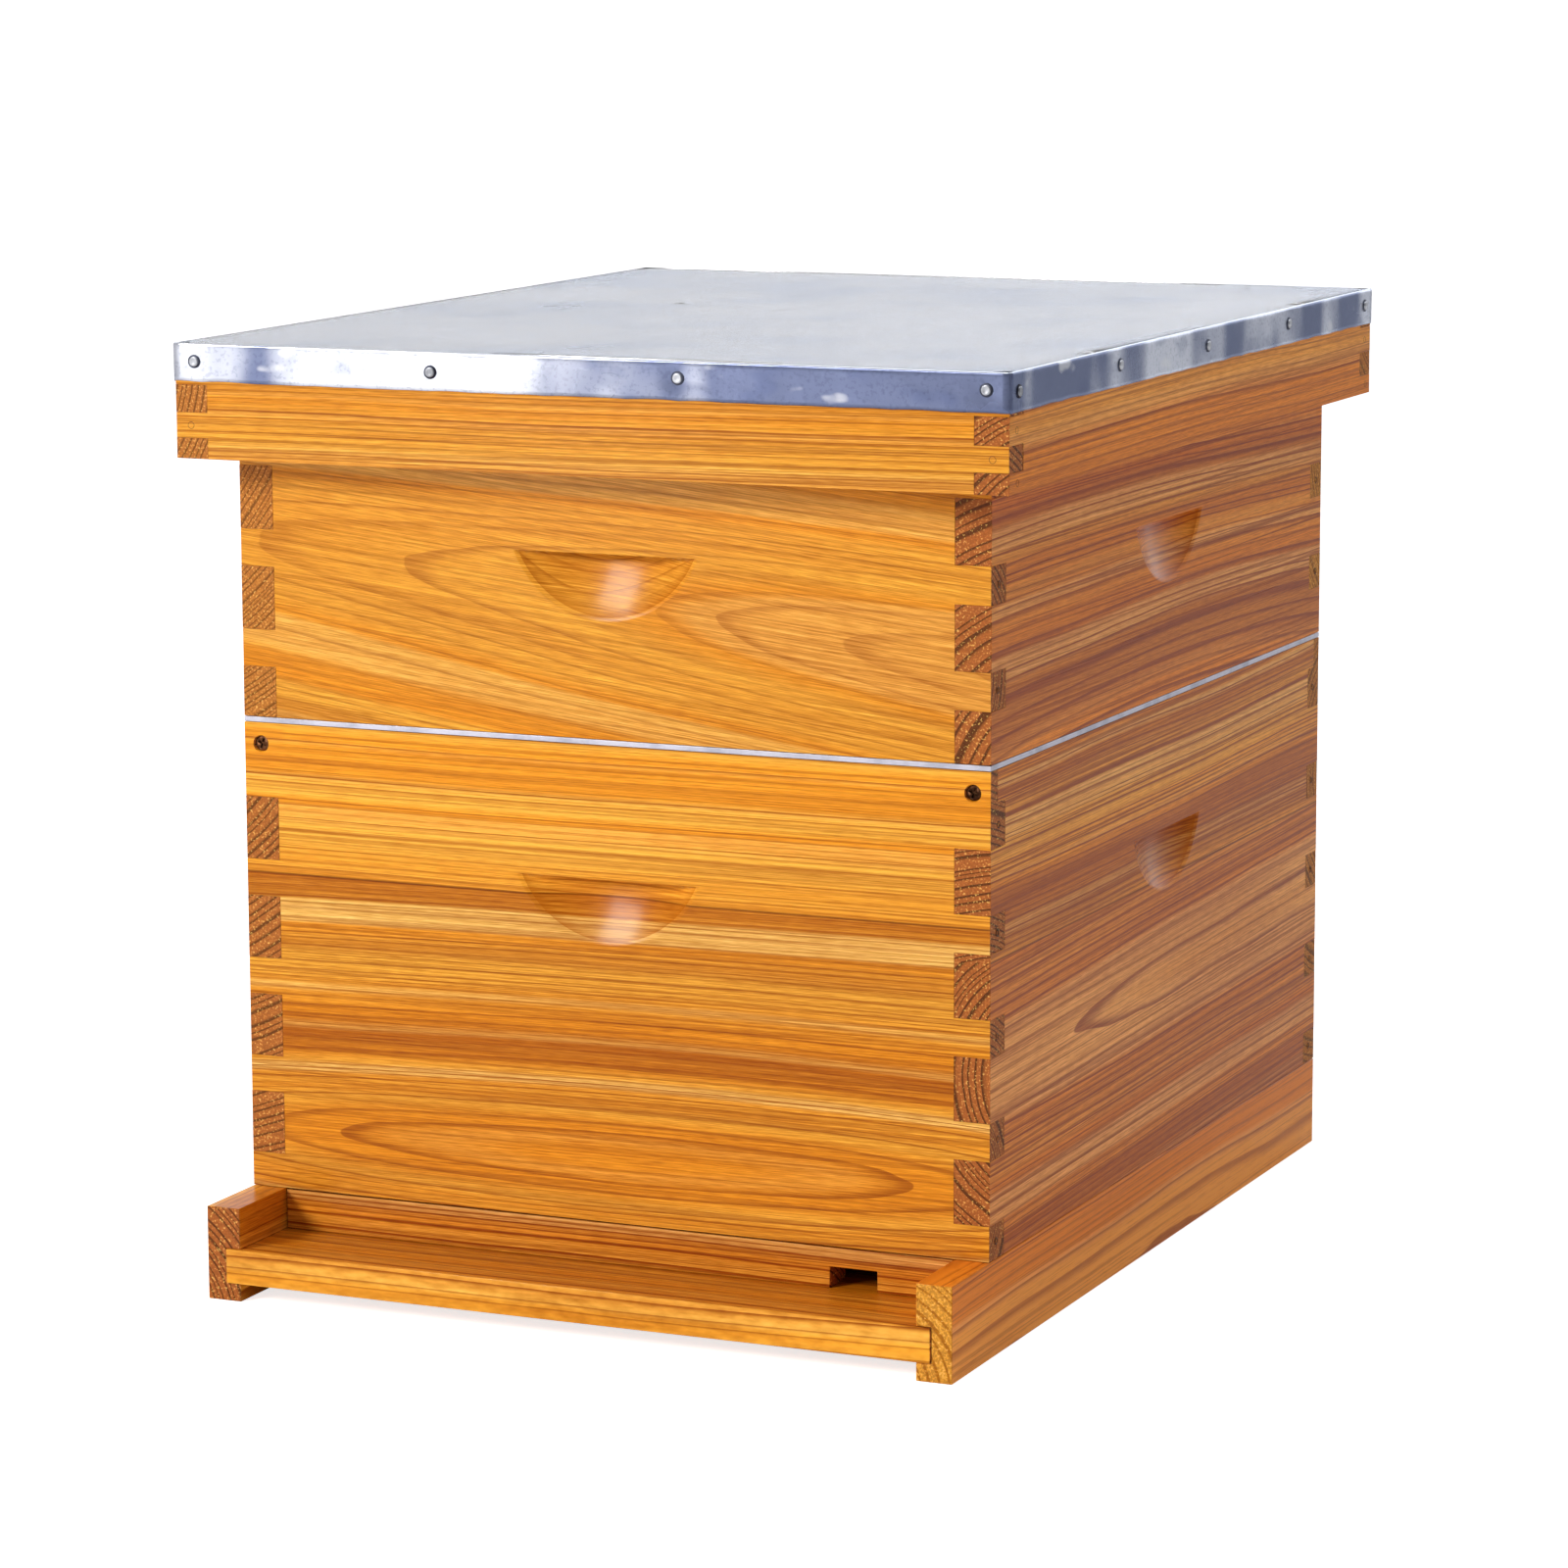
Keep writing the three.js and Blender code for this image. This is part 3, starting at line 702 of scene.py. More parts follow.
def wall_board(node, side):
    """A finger-jointed wall of a hive body, with its hand hold and its rabbet or tongue."""
    name = f"{node}_board"
    length, height = length_and_height(node)
    half = length / 2
    spans = side_fingers(height)
    ledge = height - RABBET_DEPTH
    ends_in = half - BOARD - JOINT_GAP
    tongue = half - (BOARD - RABBET_LEDGE) - JOINT_GAP
    end_board = side in ("front", "back")

    def owned(z):
        inside = any(low - JOINT_GAP < z < high + JOINT_GAP for low, high in spans)
        core = any(low < z < high for low, high in spans)
        return not inside if end_board else core

    def filled(x, y, z):
        past_rabbet = y > BOARD - RABBET_LEDGE
        if end_board:
            return not (past_rabbet and z > ledge) and (abs(x) < ends_in or owned(z))
        if abs(x) < ends_in or owned(z):
            return True
        return z > ledge and abs(x) < tongue

    zs = [0, height, ledge]
    for low, high in spans:
        zs += [low, high, max(low - JOINT_GAP, 0), high + JOINT_GAP]
    xs = [-half, -tongue, -ends_in, ends_in, tongue, half]
    bm = cell_solid(xs, [0, BOARD - RABBET_LEDGE, BOARD], zs, filled)
    sink_ends(bm, half, name)
    made = mesh_object(name, ease(bm))
    carve(made, scoop_solid(height))
    if end_board:
        for x in (-1, 1):
            bm = turned(SCREW_POCKET, 32)
            bmesh.ops.translate(bm, verts=bm.verts, vec=(x * (half - SCREW_INSET), 0, height - SCREW_DOWN))
            carve(made, bm)
    set_grain(made, planks_for(node, height))
    return made


def sink_ends(bm, half, seed):
    """Leaves the end of each finger a hair below the face it comes through."""
    draw = random.Random(seed)
    for face in bm.faces:
        if abs(abs(face.normal.x) - 1) < 1e-3 and abs(abs(face.calc_center_median().x) - half) < 1e-5:
            shift = -math.copysign(draw.uniform(0.2, 1.0) * END_SUNK, face.normal.x)
            for vertex in face.verts:
                vertex.co.x += shift


PLANKS = {
    "brood_front": [
        Plank(
            pith=(0.034, 0.022), slope=(0.006, 0.004), bow=0.16, shade=0.92, seed=3.2, stripe=0.95, wide=0.8
        ),
        Plank(low=0.1665, pith=(-0.16, 0.10), slope=(-0.006, 0.01), shade=1.11, seed=11.0, stripe=0.25),
    ],
    "brood_right": [
        Plank(
            pith=(0.098, 0.040), slope=(0.02, -0.010), shade=0.95, seed=21.4, stripe=0.75, red=0.75, lines=1.5
        ),
        Plank(
            low=0.150, pith=(-0.10, 0.06), slope=(0.01, 0.02), seed=17.7, stripe=0.8, red=0.4, lines=1.8
        ),
    ],
    "super_front": [
        Plank(pith=(0.069, 0.045), slope=(-0.106, -0.06), shade=0.92, seed=5.1, stripe=0.45, lines=0.55)
    ],
    "super_right": [
        Plank(
            pith=(-0.03, 0.05), bow=0.1, shade=0.97, seed=8.6, stripe=0.65, wide=1.4, red=0.65, lines=1.7
        )
    ],
    "outer_cover_front": [Plank(pith=(-0.10, 0.05), slope=(0.01, 0.02), shade=0.92, seed=14.2, stripe=0.3)],
    "outer_cover_right": [Plank(pith=(-0.06, 0.05), slope=(0.01, 0.01), seed=27.5, stripe=0.3, red=0.6)],
    # The landing's top face is painted darker and, through the tint, redder (outside): painted shade for the
    # grazing light and the orange light bounced onto it.
    "floor_board_front": [
        Plank(
            pith=(0.09, -0.14), slope=(0.0, 0.01), shade=1.04, seed=33.0, stripe=0.2, outside=0.71, wide=1.2
        )
    ],
    "floor_rail_left": [Plank(pith=(-0.012, 0.03), slope=(0.01, 0.02), shade=0.96, seed=25.2, stripe=0.5)],
    # The right rail is made much paler (shade): partly its own paler wood, partly painted light on the lower
    # right side, which the lamps leave dim.
    "floor_rail_right": [
        Plank(
            pith=(-0.005, -0.045), slope=(0.01, 0), shade=1.24, seed=31.5,
            stripe=0.4, wide=1.4, honey=0.9, red=0.8,
        )
    ],
    "entrance_reducer": [
        Plank(pith=(-0.05, 0.03), slope=(0.0, 0.01), shade=0.82, seed=41.0, stripe=0.8, red=0.35, lines=1.7)
    ],
}


def planks_for(node, height):
    return PLANKS.get(node) or [random_plank(node, height)]


def build_body(prefix):
    body = f"{prefix}_box"
    for side in SIDES:
        node = f"{prefix}_{side}"
        finish_board(wall_board(node, side), node, side, body)
        if side in ("left", "right"):
            add_joint_nails(node, side, body)
    for n in range(1, 5):
        add_screw(f"{prefix}_corner_screw_{n}", body)


def add_joint_nails(node, side, body):
    """Nails through the end boards' fingers, showing on the side faces."""
    length, height = length_and_height(node)
    spans = side_fingers(height)
    edges = [height - RABBET_DEPTH] + [z for low, high in spans for z in (high, low)] + [0]
    pairs = [(edges[i + 1], edges[i]) for i in range(0, len(edges) - 1, 2)]
    fingers = [(low, high) for low, high in pairs if high - low >= SHORTEST_NAILED]
    add_nail_rows(node, side, fingers, length - BOARD, 0.0012, body, radius=0.0019, proud=0.0002, dish=0.0006)


def add_nail_rows(node, side, fingers, apart, astray, body, **head):
    """A row of nails down each end of a board, one in the middle of each finger, a little astray."""
    bm = bmesh.new()
    draw = random.Random(node)
    for low, high in fingers:
        for end in (-1, 1):
            x = end * (apart / 2 + draw.uniform(-1, 1) * astray)
            add_nail_head(bm, (x, 0, (low + high) / 2), **head)
    made = mesh_object(f"{node}_joint_nails", bm)
    finish_piece(made, outwards(node, side), RUSTY, "steel", body)


def add_nail_head(bm, spot, radius, proud, dish):
    """A driven nail's head: a shallow dished disc with a short shank."""
    profile = [(0, -proud + dish), (radius * 0.55, -proud + dish * 0.7), (radius * 0.85, -proud)]
    profile += [(radius, -proud + 0.0002), (radius, 0.0005), (radius * 0.45, 0.001), (0, 0.006)]
    head = turned(profile, 20)
    bmesh.ops.translate(head, verts=head.verts, vec=spot)
    add_part(bm, head)


def add_screw(node, body):
    """A countersunk cross-head screw, sunk below the face."""
    low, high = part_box(node)
    middle = (low + high) / 2
    front = middle.y < 0
    face = low.y if front else high.y
    length = high.y - low.y
    outline = [(0, 0.0), (SCREW_HEAD - 0.0003, 0.0), (SCREW_HEAD, 0.0003), (0.0021, 0.0034)]
    outline += [(0.0018, 0.005), (0.0016, length - 0.006), (0, length)]
    bm = turned(outline, 40)
    made = mesh_object(f"{node}_cross_head", bm)
    slot_reach, slot_depth, slot_half = 0.0026, 0.0016, 0.0005
    for degrees in (20, 110):
        slot = cell_solid([-slot_reach, slot_reach], [-THROUGH, slot_depth], [-slot_half, slot_half])
        bmesh.ops.rotate(slot, verts=slot.verts, matrix=Matrix.Rotation(math.radians(degrees), 3, "Y"))
        carve(made, slot)
    turn = Matrix.Rotation(0 if front else math.pi, 4, "Z")
    place = Matrix.Translation((middle.x, face, middle.z)) @ turn
    finish_piece(made, place, RUSTY, "steel", body, node)


# ---------- floor ----------


def plain_board(node, kind, size, rule=everywhere, cuts=((), (), ())):
    """A board size = (length, thickness, width) with its grain along X.

    rule says which cells stay, and cuts where the cells end along X, Y and Z inside the board.
    """
    half = size[0] / 2
    xs = [-half, half, *cuts[0]]
    ys = [0, size[1], *cuts[1]]
    zs = [0, size[2], *cuts[2]]
    made = mesh_object(f"{node}_{kind}", ease(cell_solid(xs, ys, zs, rule)))
    set_grain(made, planks_for(node, size[2]))
    return made


def build_floor():
    for side in ("left", "right"):
        node = f"floor_rail_{side}"
        size = sizes(node)
        groove = (UNDER_H - JOINT_GAP, UNDER_H + FLOOR_T + JOINT_GAP)

        def rule(x, y, z):
            return not (y > BOARD - DADO and groove[0] < z < groove[1])

        cuts = ((), [BOARD - DADO], groove)
        made = plain_board(node, "piece", (size.y, BOARD, size.z), rule, cuts)
        finish_board(made, node, side, "base")
    for part in ("front", "middle", "rear"):
        build_floor_board(f"floor_board_{part}", part)
    for part in ("upper", "lower"):
        node = f"floor_cleat_{part}"
        size = sizes(node)
        made = plain_board(node, "piece", (size.x, BOARD, size.z))
        finish_board(made, node, "back", "base")


def build_floor_board(node, part):
    """A floor board lies flat: its outer face is the upper one, so it is made upright and laid down."""
    low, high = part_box(node)
    size = high - low
    middle = FLOOR_T / 2
    tongue_half = 0.003
    tongue = 0 if part == "rear" else 0.005
    groove = 0 if part == "front" else 0.0051

    def rule(x, y, z):
        centre = abs(y - middle) < tongue_half
        if z > size.y - tongue:
            return centre
        return not (z < groove and centre)

    ys = [middle - tongue_half, middle + tongue_half]
    cuts = ((), ys, [size.y - tongue, groove])
    made = plain_board(node, "piece", (size.x, FLOOR_T, size.y), rule, cuts)
    lay = Matrix(((1, 0, 0, 0), (0, 0, 1, 0), (0, -1, 0, 0), (0, 0, 0, 1)))
    place = Matrix.Translation(((low.x + high.x) / 2, low.y, high.z)) @ lay
    finish_piece(made, place, WAXED, "cedar", "base", node)


def build_reducer():
    """A loose bar with a small opening below, near its right end, and a wide one cut into its back."""
    node = "entrance_reducer"
    size = sizes(node)
    rail_gap, from_rail, opening, opening_height = 0.0005, 0.041, 0.0255, 0.011
    right = size.x / 2 + rail_gap - from_rail
    left = right - opening
    wide_half, wide_floor = 0.05, 0.020 - 0.0095

    def rule(x, y, z):
        small = left < x < right and z < opening_height
        wide = abs(x) < wide_half and y > wide_floor
        return not small and not wide

    cuts = ([left, right, -wide_half, wide_half], [wide_floor], [opening_height])
    made = plain_board(node, "bar", size, rule, cuts)
    finish_board(made, node, "front", node)


# ---------- queen excluder ----------


def build_excluder():
    """A rim that is solid outside, with two sheet flanges inside that hold the grid between them."""
    node = "excluder_rim"
    wide, long, thick = sizes(node)
    sheet, fold = 0.0004, 0.011

    def rule(x, y, z):
        edge = min(wide / 2 - abs(x), y, long - y)
        if edge > EXCLUDER_RIM:
            return False
        return edge < fold or z < sheet or z > thick - sheet

    xs = [-wide / 2, wide / 2]
    ys = [0, long]
    for inset in (EXCLUDER_RIM, fold):
        xs += [-wide / 2 + inset, wide / 2 - inset]
        ys += [inset, long - inset]
    bm = cell_solid(xs, ys, [0, sheet, thick - sheet, thick], rule)
    made = mesh_object("excluder_folded_rim", ease(bm, EASED_METAL))
    finish_piece(made, outwards(node, "front"), ZINC, "excluder_steel", "queen_excluder", node)
    build_wires()


def build_wires():
    """Round wires from front to back, 5.8 mm apart, on two flat cross strips."""
    low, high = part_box("excluder_grid")
    long = high.y - low.y
    radius, pitch = 0.0008, 0.0058
    strip_half, strip_top = 0.002, -0.0002
    count = int((sizes("excluder_rim").x - 2 * EXCLUDER_RIM) / pitch)
    turn = Matrix.Rotation(math.pi / 2, 4, "X")
    bm = bmesh.new()
    for n in range(count):
        x = (n - (count - 1) / 2) * pitch
        ends = {"radius1": radius, "radius2": radius}
        rod = bmesh.ops.create_cone(bm, cap_ends=True, segments=10, depth=long, **ends)
        bmesh.ops.transform(bm, matrix=Matrix.Translation((x, 0, 0)) @ turn, verts=rod["verts"])
    for n in (1, 2):
        y = (n / 3 - 0.5) * long
        strip = cell_solid([low.x, high.x], [y - strip_half, y + strip_half], [-radius, strip_top])
        add_part(bm, ease(strip, 0.0001))
    for face in bm.faces:
        face.smooth = len(face.verts) == 4
    made = mesh_object("excluder_wires", bm)
    place = Matrix.Translation((low + high) / 2)
    finish_piece(made, place, ZINC, "excluder_steel", "queen_excluder", "excluder_grid")


# ---------- frames ----------


def end_bar_mesh(height):
    """An end bar in the (z, y) plane: wide shoulders above, narrower below, grain upright."""
    wide, narrow = 0.0175, 0.0135
    right = [(wide, 0), (wide, -0.078), (narrow, -0.088), (narrow, -height)]
    outline = right + [(-x, z) for x, z in reversed(right)]
    return ease(extruded([(z, 0, x) for x, z in outline], (0, END_BAR, 0)), EASED_BAR)


def frame_bar(name, bm, seed, place):
    """One bar of a frame, with its own grain, in its place in the frame."""
    made = mesh_object(name, bm)
    set_grain(made, [random_plank(seed, 0.02)])
    made.data.transform(place)
    return made


def frame_parts(name, height):
    """The bars of a self-spacing frame, each with its grain along it. The top bar's top is at z = 0."""
    lugs, lug_thick = 0.2413, 0.0095
    thick, wide, saw_cut = 0.019, 0.027, 0.0135
    slit = (0.0119, 0.0151)
    bottom_wide, bottom_thick = 0.019, 0.0095

    def top_rule(x, y, z):
        if abs(x) > FRAME_HALF:
            return z > -lug_thick
        return not (slit[0] < y < slit[1] and z < -saw_cut)

    xs = [-lugs, -FRAME_HALF, FRAME_HALF, lugs]
    top = cell_solid(xs, [0, *slit, wide], [-thick, -saw_cut, -lug_thick, 0], top_rule)
    xs = [-FRAME_HALF + 0.005, FRAME_HALF - 0.005]
    bottom = cell_solid(xs, [0, bottom_wide], [-height, -height + bottom_thick])
    pieces = []
    for part, bm, shift in (("top", top, -wide / 2), ("bottom", bottom, -bottom_wide / 2)):
        place = Matrix.Translation((0, shift, 0))
        pieces.append(frame_bar(f"{name}_{part}_bar", ease(bm, EASED_BAR), f"{name}{part}", place))
    upright = Matrix(((0, 1, 0, 0), (0, 0, 1, 0), (1, 0, 0, 0), (0, 0, 0, 1)))
    for end, x in ((-1, -FRAME_HALF), (1, FRAME_HALF - END_BAR)):
        place = Matrix.Translation((x, 0, -0.0001)) @ upright
        bm = end_bar_mesh(height - 0.0002)
        pieces.append(frame_bar(f"{name}_end_bar", bm, f"{name}end{end}", place))
    return pieces


def foundation_piece(name, height):
    """A smooth wax sheet, gently uneven. The pattern of its cells is in its material."""
    inside = FRAME_HALF - 0.0065
    low, high = -height + 0.0068, -0.0165
    columns, rows = 48, 20

    def point(i, j):
        x = -inside + 2 * inside * i / columns
        bulge = 0.0004 * math.sin(9 * x / inside) * math.sin(math.pi * j / rows)
        return (x, bulge, low + (high - low) * j / rows)

    bm = bmesh.new()
    grid_faces(bm, [[point(i, j) for i in range(columns + 1)] for j in range(rows + 1)])
    bmesh.ops.solidify(bm, geom=list(bm.faces), thickness=0.0014)
    bmesh.ops.recalc_face_normals(bm, faces=bm.faces)
    return mesh_object(name, bm)


def build_frames(prefix):
    for n in range(1, 11):
        node = f"{prefix}_frame_{n:02d}"
        low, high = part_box(node)
        height = high.z - low.z
        place = centred(node, high.z) @ Matrix.Rotation(math.pi / 2, 4, "Z")
        bars = join(frame_parts(node, height), f"{node}_bars")
        finish_piece(bars, place, PLANED, "pine", f"{prefix}_frames", node)
        wax = foundation_piece(f"{node}_foundation", height)
        finish_piece(wax, place, WAX, "beeswax", f"{prefix}_frames")


def join(parts, name):
    """Joins meshes that carry the same attributes into one object."""
    with bpy.context.temp_override(
        active_object=parts[0], selected_editable_objects=parts, selected_objects=parts
    ):
        bpy.ops.object.join()
    parts[0].name = name
    return parts[0]


# ---------- inner cover ----------


def build_inner_cover():
    """Four grooved rim pieces round a panel, with a notch for the bees in the front one."""
    thick, rim = 0.015, 0.032
    groove_low, groove_high, groove_floor = 0.0039, 0.0091, 0.032 - 0.008
    notch_half, notch_floor = 0.0125, 0.015 - 0.0055
    for side in SIDES:
        node = f"inner_cover_{side}"
        notched = side == "front"

        def rule(x, y, z):
            if notched and abs(x) < notch_half and z > notch_floor:
                return False
            return not (y > groove_floor and groove_low < z < groove_high)

        cuts = ([-notch_half, notch_half], [groove_floor], [groove_low, groove_high, notch_floor])
        made = plain_board(node, "rail", (length_and_height(node)[0], rim, thick), rule, cuts)
        finish_board(made, node, side, "inner_cover")
    node = "inner_cover_panel"
    made = panel_piece(node, "inner_cover_panel_sheet")
    carve(made, oval_cutter(0.095, 0.032, sizes(node).z))
    finish_piece(made, centred(node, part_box(node)[0].z), PLY, "plywood", "inner_cover", node)


def panel_piece(node, name):
    """A plywood panel that lies flat, its underside at z = 0."""
    size = sizes(node)
    bm = cell_solid([-size.x / 2, size.x / 2], [-size.y / 2, size.y / 2], [0, size.z])
    return mesh_object(name, ease(bm, EASED_PANEL))


def oval_cutter(length, width, thick):
    """What cuts the bee-escape hole, a long hole with round ends."""
    radius = width / 2
    straight = length / 2 - radius
    corners = 64
    ring = []
    for n in range(corners):
        turn = 2 * math.pi * n / corners
        shift = straight if turn < math.pi else -straight
        ring.append((radius * math.cos(turn), shift + radius * math.sin(turn), -THROUGH))
    return extruded(ring, (0, 0, thick + 2 * THROUGH))


# ---------- outer cover ----------


def cover_board(node, side):
    """A finger-jointed board of the lid. The side boards own its lowest finger and every second one above."""
    name = f"{node}_board"
    length, height = length_and_height(node)
    half = length / 2
    edges = [0, *COVER_FINGERS, height]
    ends_in = half - COVER_BOARD - JOINT_GAP
    side_board = side in ("left", "right")

    def filled(x, y, z):
        if abs(x) < ends_in:
            return True
        for n, (low, high) in enumerate(zip(edges, edges[1:])):
            if low < z < high:
                if (n % 2 == 0) == side_board:
                    return low + JOINT_GAP < z or n == 0
                return False
        return False

    zs = [*edges, *[z + JOINT_GAP for z in COVER_FINGERS]]
    bm = cell_solid([-half, -ends_in, ends_in, half], [0, COVER_BOARD], zs, filled)
    sink_ends(bm, half, name)
    made = mesh_object(name, ease(bm))
    set_grain(made, planks_for(node, height))
    return made


def build_outer_cover():
    for side in SIDES:
        node = f"outer_cover_{side}"
        finish_board(cover_board(node, side), node, side, "outer_cover")
        add_cover_nails(node, side)
    node = "outer_cover_panel"
    made = panel_piece(node, "outer_cover_ply_panel")
    finish_piece(made, centred(node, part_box(node)[0].z), PLY, "plywood", "outer_cover", node)
    build_sheet()


def add_cover_nails(node, side):
    """A nail through each finger that this board passes over its neighbour."""
    length, height = length_and_height(node)
    edges = [0, *COVER_FINGERS, height]
    first = 0 if side in ("left", "right") else 1
    fingers = list(zip(edges, edges[1:]))[first::2]
    apart = length - COVER_BOARD
    add_nail_rows(
        node, side, fingers, apart, 0.0015, "outer_cover", radius=0.0020, proud=0.0001, dish=0.0009
    )


END_NAILS = (0.012, 0.146, 0.281, 0.442)  # along a front or back skirt, from its left end
SIDE_NAILS = (0.012, 0.150, 0.281, 0.412, 0.546)
NAIL_HEIGHT = 0.0085


def build_sheet():
    """The galvanised sheet: a flat top folded down all round, dented at its nails and a little wavy."""
    low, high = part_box("outer_cover_sheet")
    size = high - low
    draw = random.Random(12)
    waves = [(draw.uniform(8, 60), draw.uniform(0, 6.3), draw.uniform(0.2, 1.0)) for _ in range(7)]
    for side in SIDES:
        across = side in ("front", "back")
        length = size.x if across else size.y
        spots = [spot - length / 2 for spot in (END_NAILS if across else SIDE_NAILS)]
        skirt = skirt_mesh(f"outer_cover_sheet_{side}", length, size.z, spots, waves)
        place = outwards("outer_cover_sheet", side)
        finish_piece(skirt, place, SHEET_METAL, "galvanised", "outer_cover")
        heads = bmesh.new()
        rings = bmesh.new()
        for x in spots:
            spot = (x, 0.0004, size.z - NAIL_HEIGHT - 0.002 * draw.random())
            add_nail_head(heads, spot, radius=0.0025, proud=0.0012, dish=0.0003)
            # a wider dark disc under the head: painted shade round the nail
            add_nail_head(rings, spot, radius=0.0034, proud=0.0006, dish=0.0)
        nails = mesh_object(f"outer_cover_sheet_{side}_nails", heads)
        finish_piece(nails, place, NAIL, "steel", "outer_cover")
        shade_rings = mesh_object(f"outer_cover_sheet_{side}_nail_shade_rings", rings)
        finish_piece(shade_rings, place, NAIL_SHADE, "steel", "outer_cover")
    top = top_mesh("outer_cover_sheet_top", size)
    place = centred("outer_cover_sheet", high.z)
    finish_piece(top, place, SHEET_METAL, "galvanised", "outer_cover", "outer_cover_sheet")


def skirt_mesh(name, length, height, nails, waves):
    """One folded-down side of the sheet, its bend rounded into the top."""
    bend = 0.0012
    inset = 0.0004
    columns = int(length / 0.004)
    rows = 10
    nail_z = height - NAIL_HEIGHT - 0.001
    dent_depth, dent_radius = 0.0005, 0.006
    grid = []
    for i in range(columns + 1):
        x = -length / 2 + inset + (length - 2 * inset) * i / columns
        ragged = 0.0006 * sum(a * math.sin(f * 3 * x + p) for f, p, a in waves) / 3
        wavy = 0.5 + sum(a * math.sin(f * x + p) for f, p, a in waves) / 7
        column = []
        for n in range(5):
            turn = math.pi / 2 * n / 4
            column.append((x, bend * (1 - math.sin(turn)), height - bend * (1 - math.cos(turn))))
        for n in range(1, rows + 1):
            down = n / rows
            z = (height - bend) * (1 - down) + abs(ragged) * down
            away = min(math.hypot(x - spot, z - nail_z) for spot in nails)
            dent = dent_depth * math.exp(-((away / dent_radius) ** 2))
            column.append((x, 0.0003 * wavy * down + dent, z))
        grid.append(column)
    bm = bmesh.new()
    grid_faces(bm, grid)
    bmesh.ops.recalc_face_normals(bm, faces=bm.faces)
    if bm.faces[:][0].normal.y > 0:
        bmesh.ops.reverse_faces(bm, faces=bm.faces)
    bmesh.ops.solidify(bm, geom=list(bm.faces), thickness=0.0005)
    return mesh_object(name, bm)


def top_mesh(name, size):
    """The sheet's top, a few tenths of a millimetre out of flat."""
    inset = 0.0011
    columns, rows = 46, 56

    def point(i, j):
        x = (size.x - 2 * inset) * (i / columns - 0.5)
        y = (size.y - 2 * inset) * (j / rows - 0.5)
        slack = min(min(i, columns - i, j, rows - j) / 6, 1)
        sag = 0.00015 * (math.sin(21 * x + 1) * math.sin(17 * y) + math.sin(9 * x - 5 * y))
        return (x, y, slack * (sag - 0.0001) - 0.0001)

    bm = bmesh.new()
    grid_faces(bm, [[point(i, j) for i in range(columns + 1)] for j in range(rows + 1)])
    bmesh.ops.solidify(bm, geom=list(bm.faces), thickness=0.0003)
    return mesh_object(name, bm)


# ---------- studio ----------


WARM_WHITE = (1.0, 0.97, 0.93)
COOL_WHITE = (0.95, 0.97, 1.0)


def build_studio():
    """A pale floor under a pale sky. To the camera both look whiter than the light they give the hive."""
    bm = bmesh.new()
    bmesh.ops.create_circle(bm, cap_ends=True, segments=96, radius=40)
    floor = mesh_object("studio_floor", bm)
    g = paint("studio_floor_paint")
    spots = g.noise(g.place(), scale=3.0)
    shown = g.add("LightPath", {}, "Is Camera Ray") * 0.75
    g.shade(Base_Color=(0.88, 0.88, 0.88), Roughness=(spots - 0.5) * 0.1 + 0.85, Specular_IOR_Level=0.2)
    floor.data.materials.append(g.shade(Emission_Color=(1.0, 1.0, 1.0), Emission_Strength=shown))
    build_sky()
    add_light("key", (-2.95, -4.55, 2.85), (0, 0, 0.25), size=1.7, power=262, colour=WARM_WHITE)
    add_light("low", (-2.61, -4.08, 0.48), (0, -0.3, 0.45), size=0.9, power=3.4, colour=COOL_WHITE)
    add_light("sheen", (-1.17, -2.66, 0.16), (0, -0.2, 0.4), size=0.24, power=0.8, colour=WARM_WHITE)
    add_light("top", (0.2, 0.3, 2.9), (0, 0, 0.3), size=2.6, power=42, colour=COOL_WHITE)


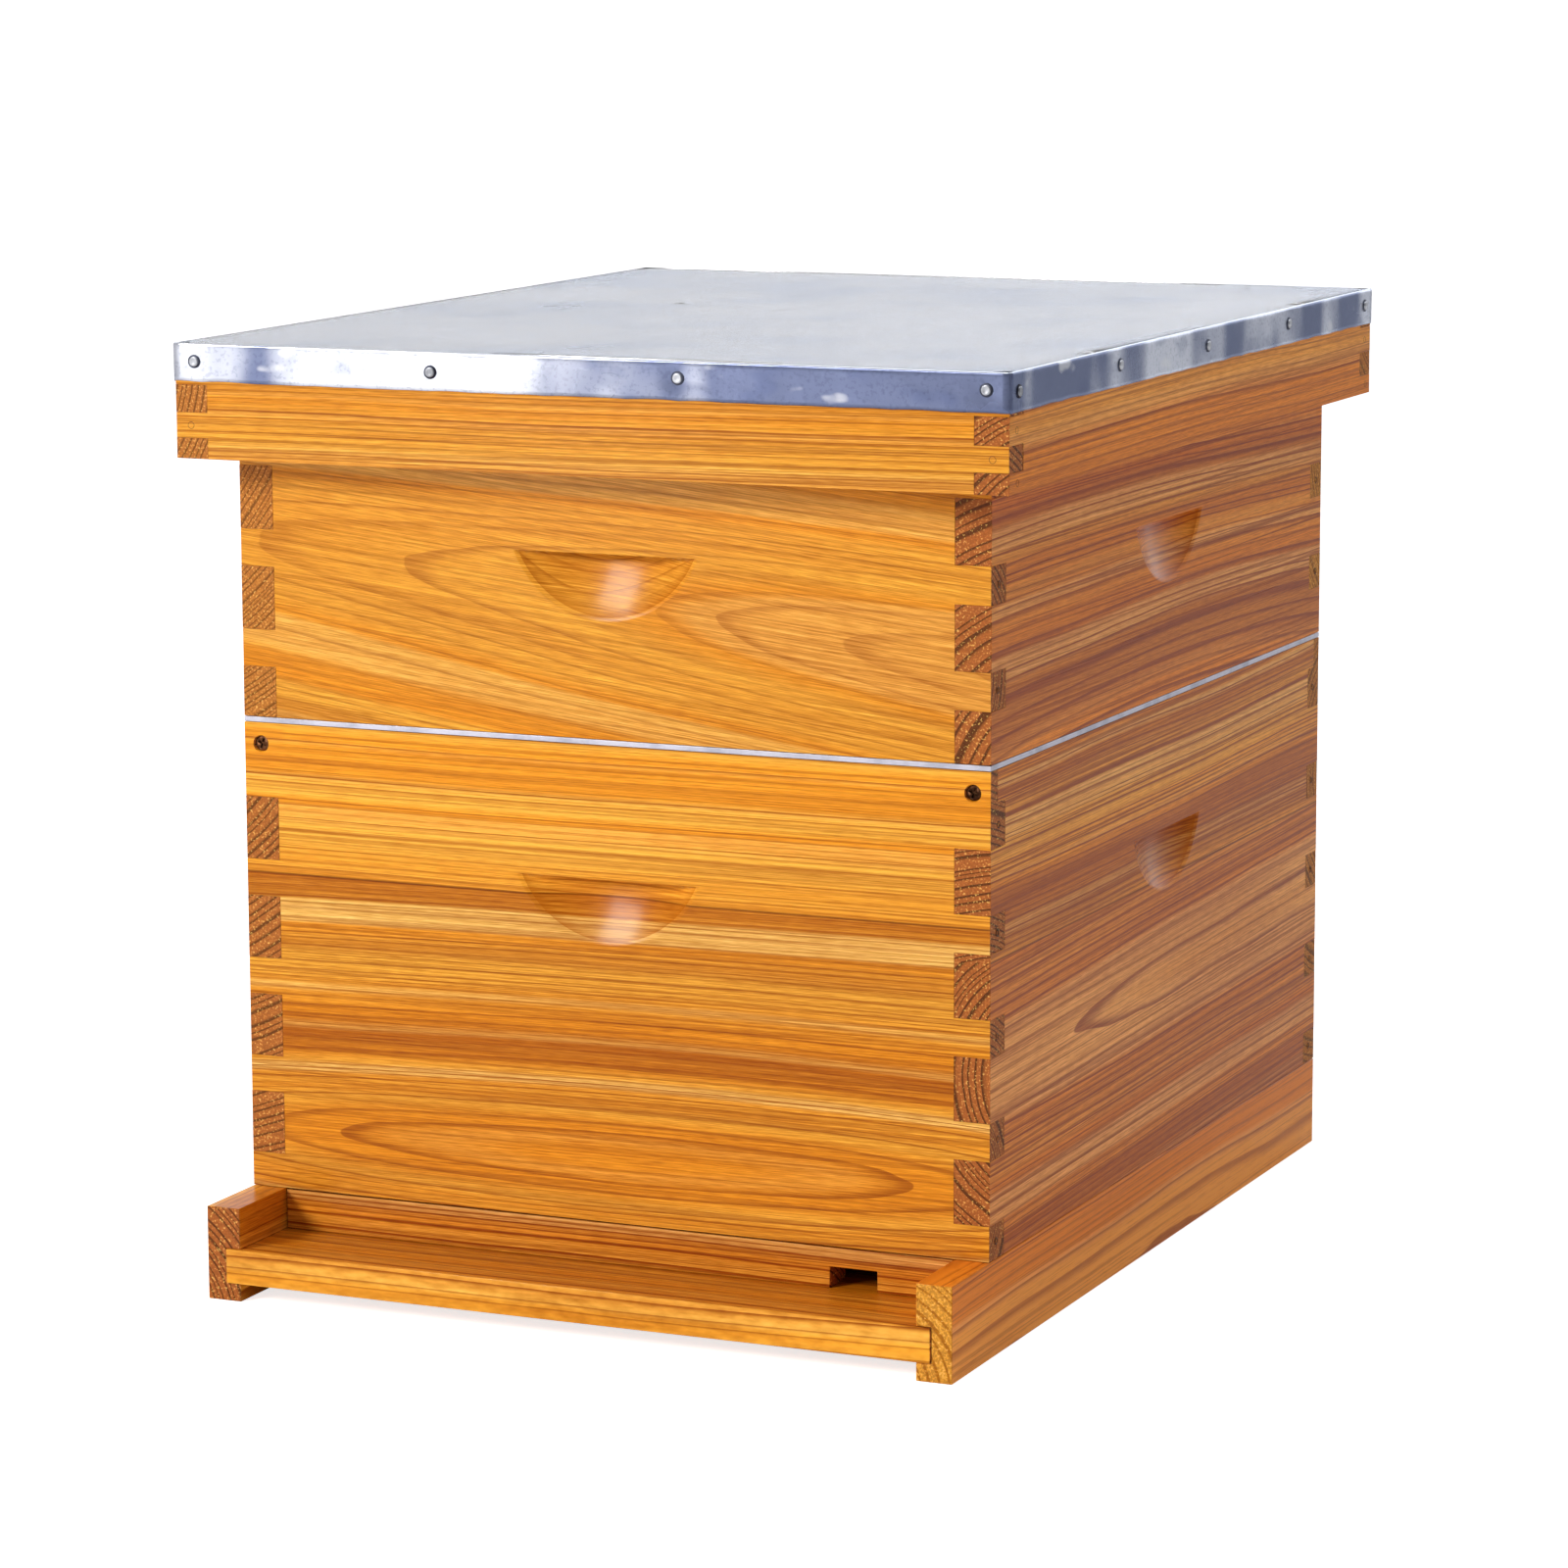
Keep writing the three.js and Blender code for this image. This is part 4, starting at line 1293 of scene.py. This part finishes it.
def build_sky():
    """A pale sky. The camera sees it even and white, wherever it stands.

    All other rays see it dimmer in front of the hive and brighter behind, so the front keeps its colour.
    """
    world = bpy.data.worlds.new("studio_sky")
    bpy.context.scene.world = world
    g = Graph(world, "Background")
    forwards = g.split(g.add("TexCoord", {}, "Generated"))[1]
    unseen = {"Value": forwards, "From Min": 0.55, "From Max": 0.95, "To Min": 0.24, "To Max": 1.6}
    to_camera = g.add("LightPath", {}, "Is Camera Ray")
    strength = {"Value": to_camera, "To Min": g.add("MapRange", unseen), "To Max": 1.1}
    g.shade(Color=(0.99, 0.99, 1.0), Strength=g.add("MapRange", strength))


def add_light(name, spot, target, size, power, colour):
    """A square area light that looks at its target."""
    light = bpy.data.lights.new(name, "AREA")
    light.energy = power
    light.size = size
    light.color = colour
    lamp = bpy.data.objects.new(name, light)
    lamp.location = spot
    lamp.rotation_euler = (Vector(target) - Vector(spot)).to_track_quat("-Z", "Y").to_euler()
    bpy.context.scene.collection.objects.link(lamp)


# degrees, the lens in millimetres, and the place in metres from the box front's lower middle
CAMERA = {"yaw": 23.84, "pitch": 9.62, "roll": 0.2, "lens": 124.0, "spot": (1.157, -2.399, 0.7255)}


def build_camera():
    """The camera stands to the right of the entrance, a little above the hive, and looks down at it."""
    low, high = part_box("brood_front")
    ground = Vector(((low.x + high.x) / 2, low.y, 0))
    yaw, pitch, roll = (math.radians(CAMERA[name]) for name in ("yaw", "pitch", "roll"))
    camera = bpy.data.cameras.new("camera")
    camera.lens = CAMERA["lens"]
    camera.sensor_width = 36
    camera.clip_end = 200
    holder = bpy.data.objects.new("camera", camera)
    aim = Vector((-math.sin(yaw) * math.cos(pitch), math.cos(yaw) * math.cos(pitch), -math.sin(pitch)))
    turn = aim.to_track_quat("-Z", "Y").to_matrix().to_4x4() @ Matrix.Rotation(-roll, 4, "Z")
    holder.matrix_world = Matrix.Translation(ground + Vector(CAMERA["spot"])) @ turn
    bpy.context.scene.collection.objects.link(holder)
    bpy.context.scene.camera = holder


bpy.context.scene.view_settings.view_transform = "Standard"
build_camera()
build_studio()
build_floor()
build_reducer()
build_body("brood")
build_frames("brood")
build_excluder()
build_body("super")
build_frames("super")
build_inner_cover()
build_outer_cover()
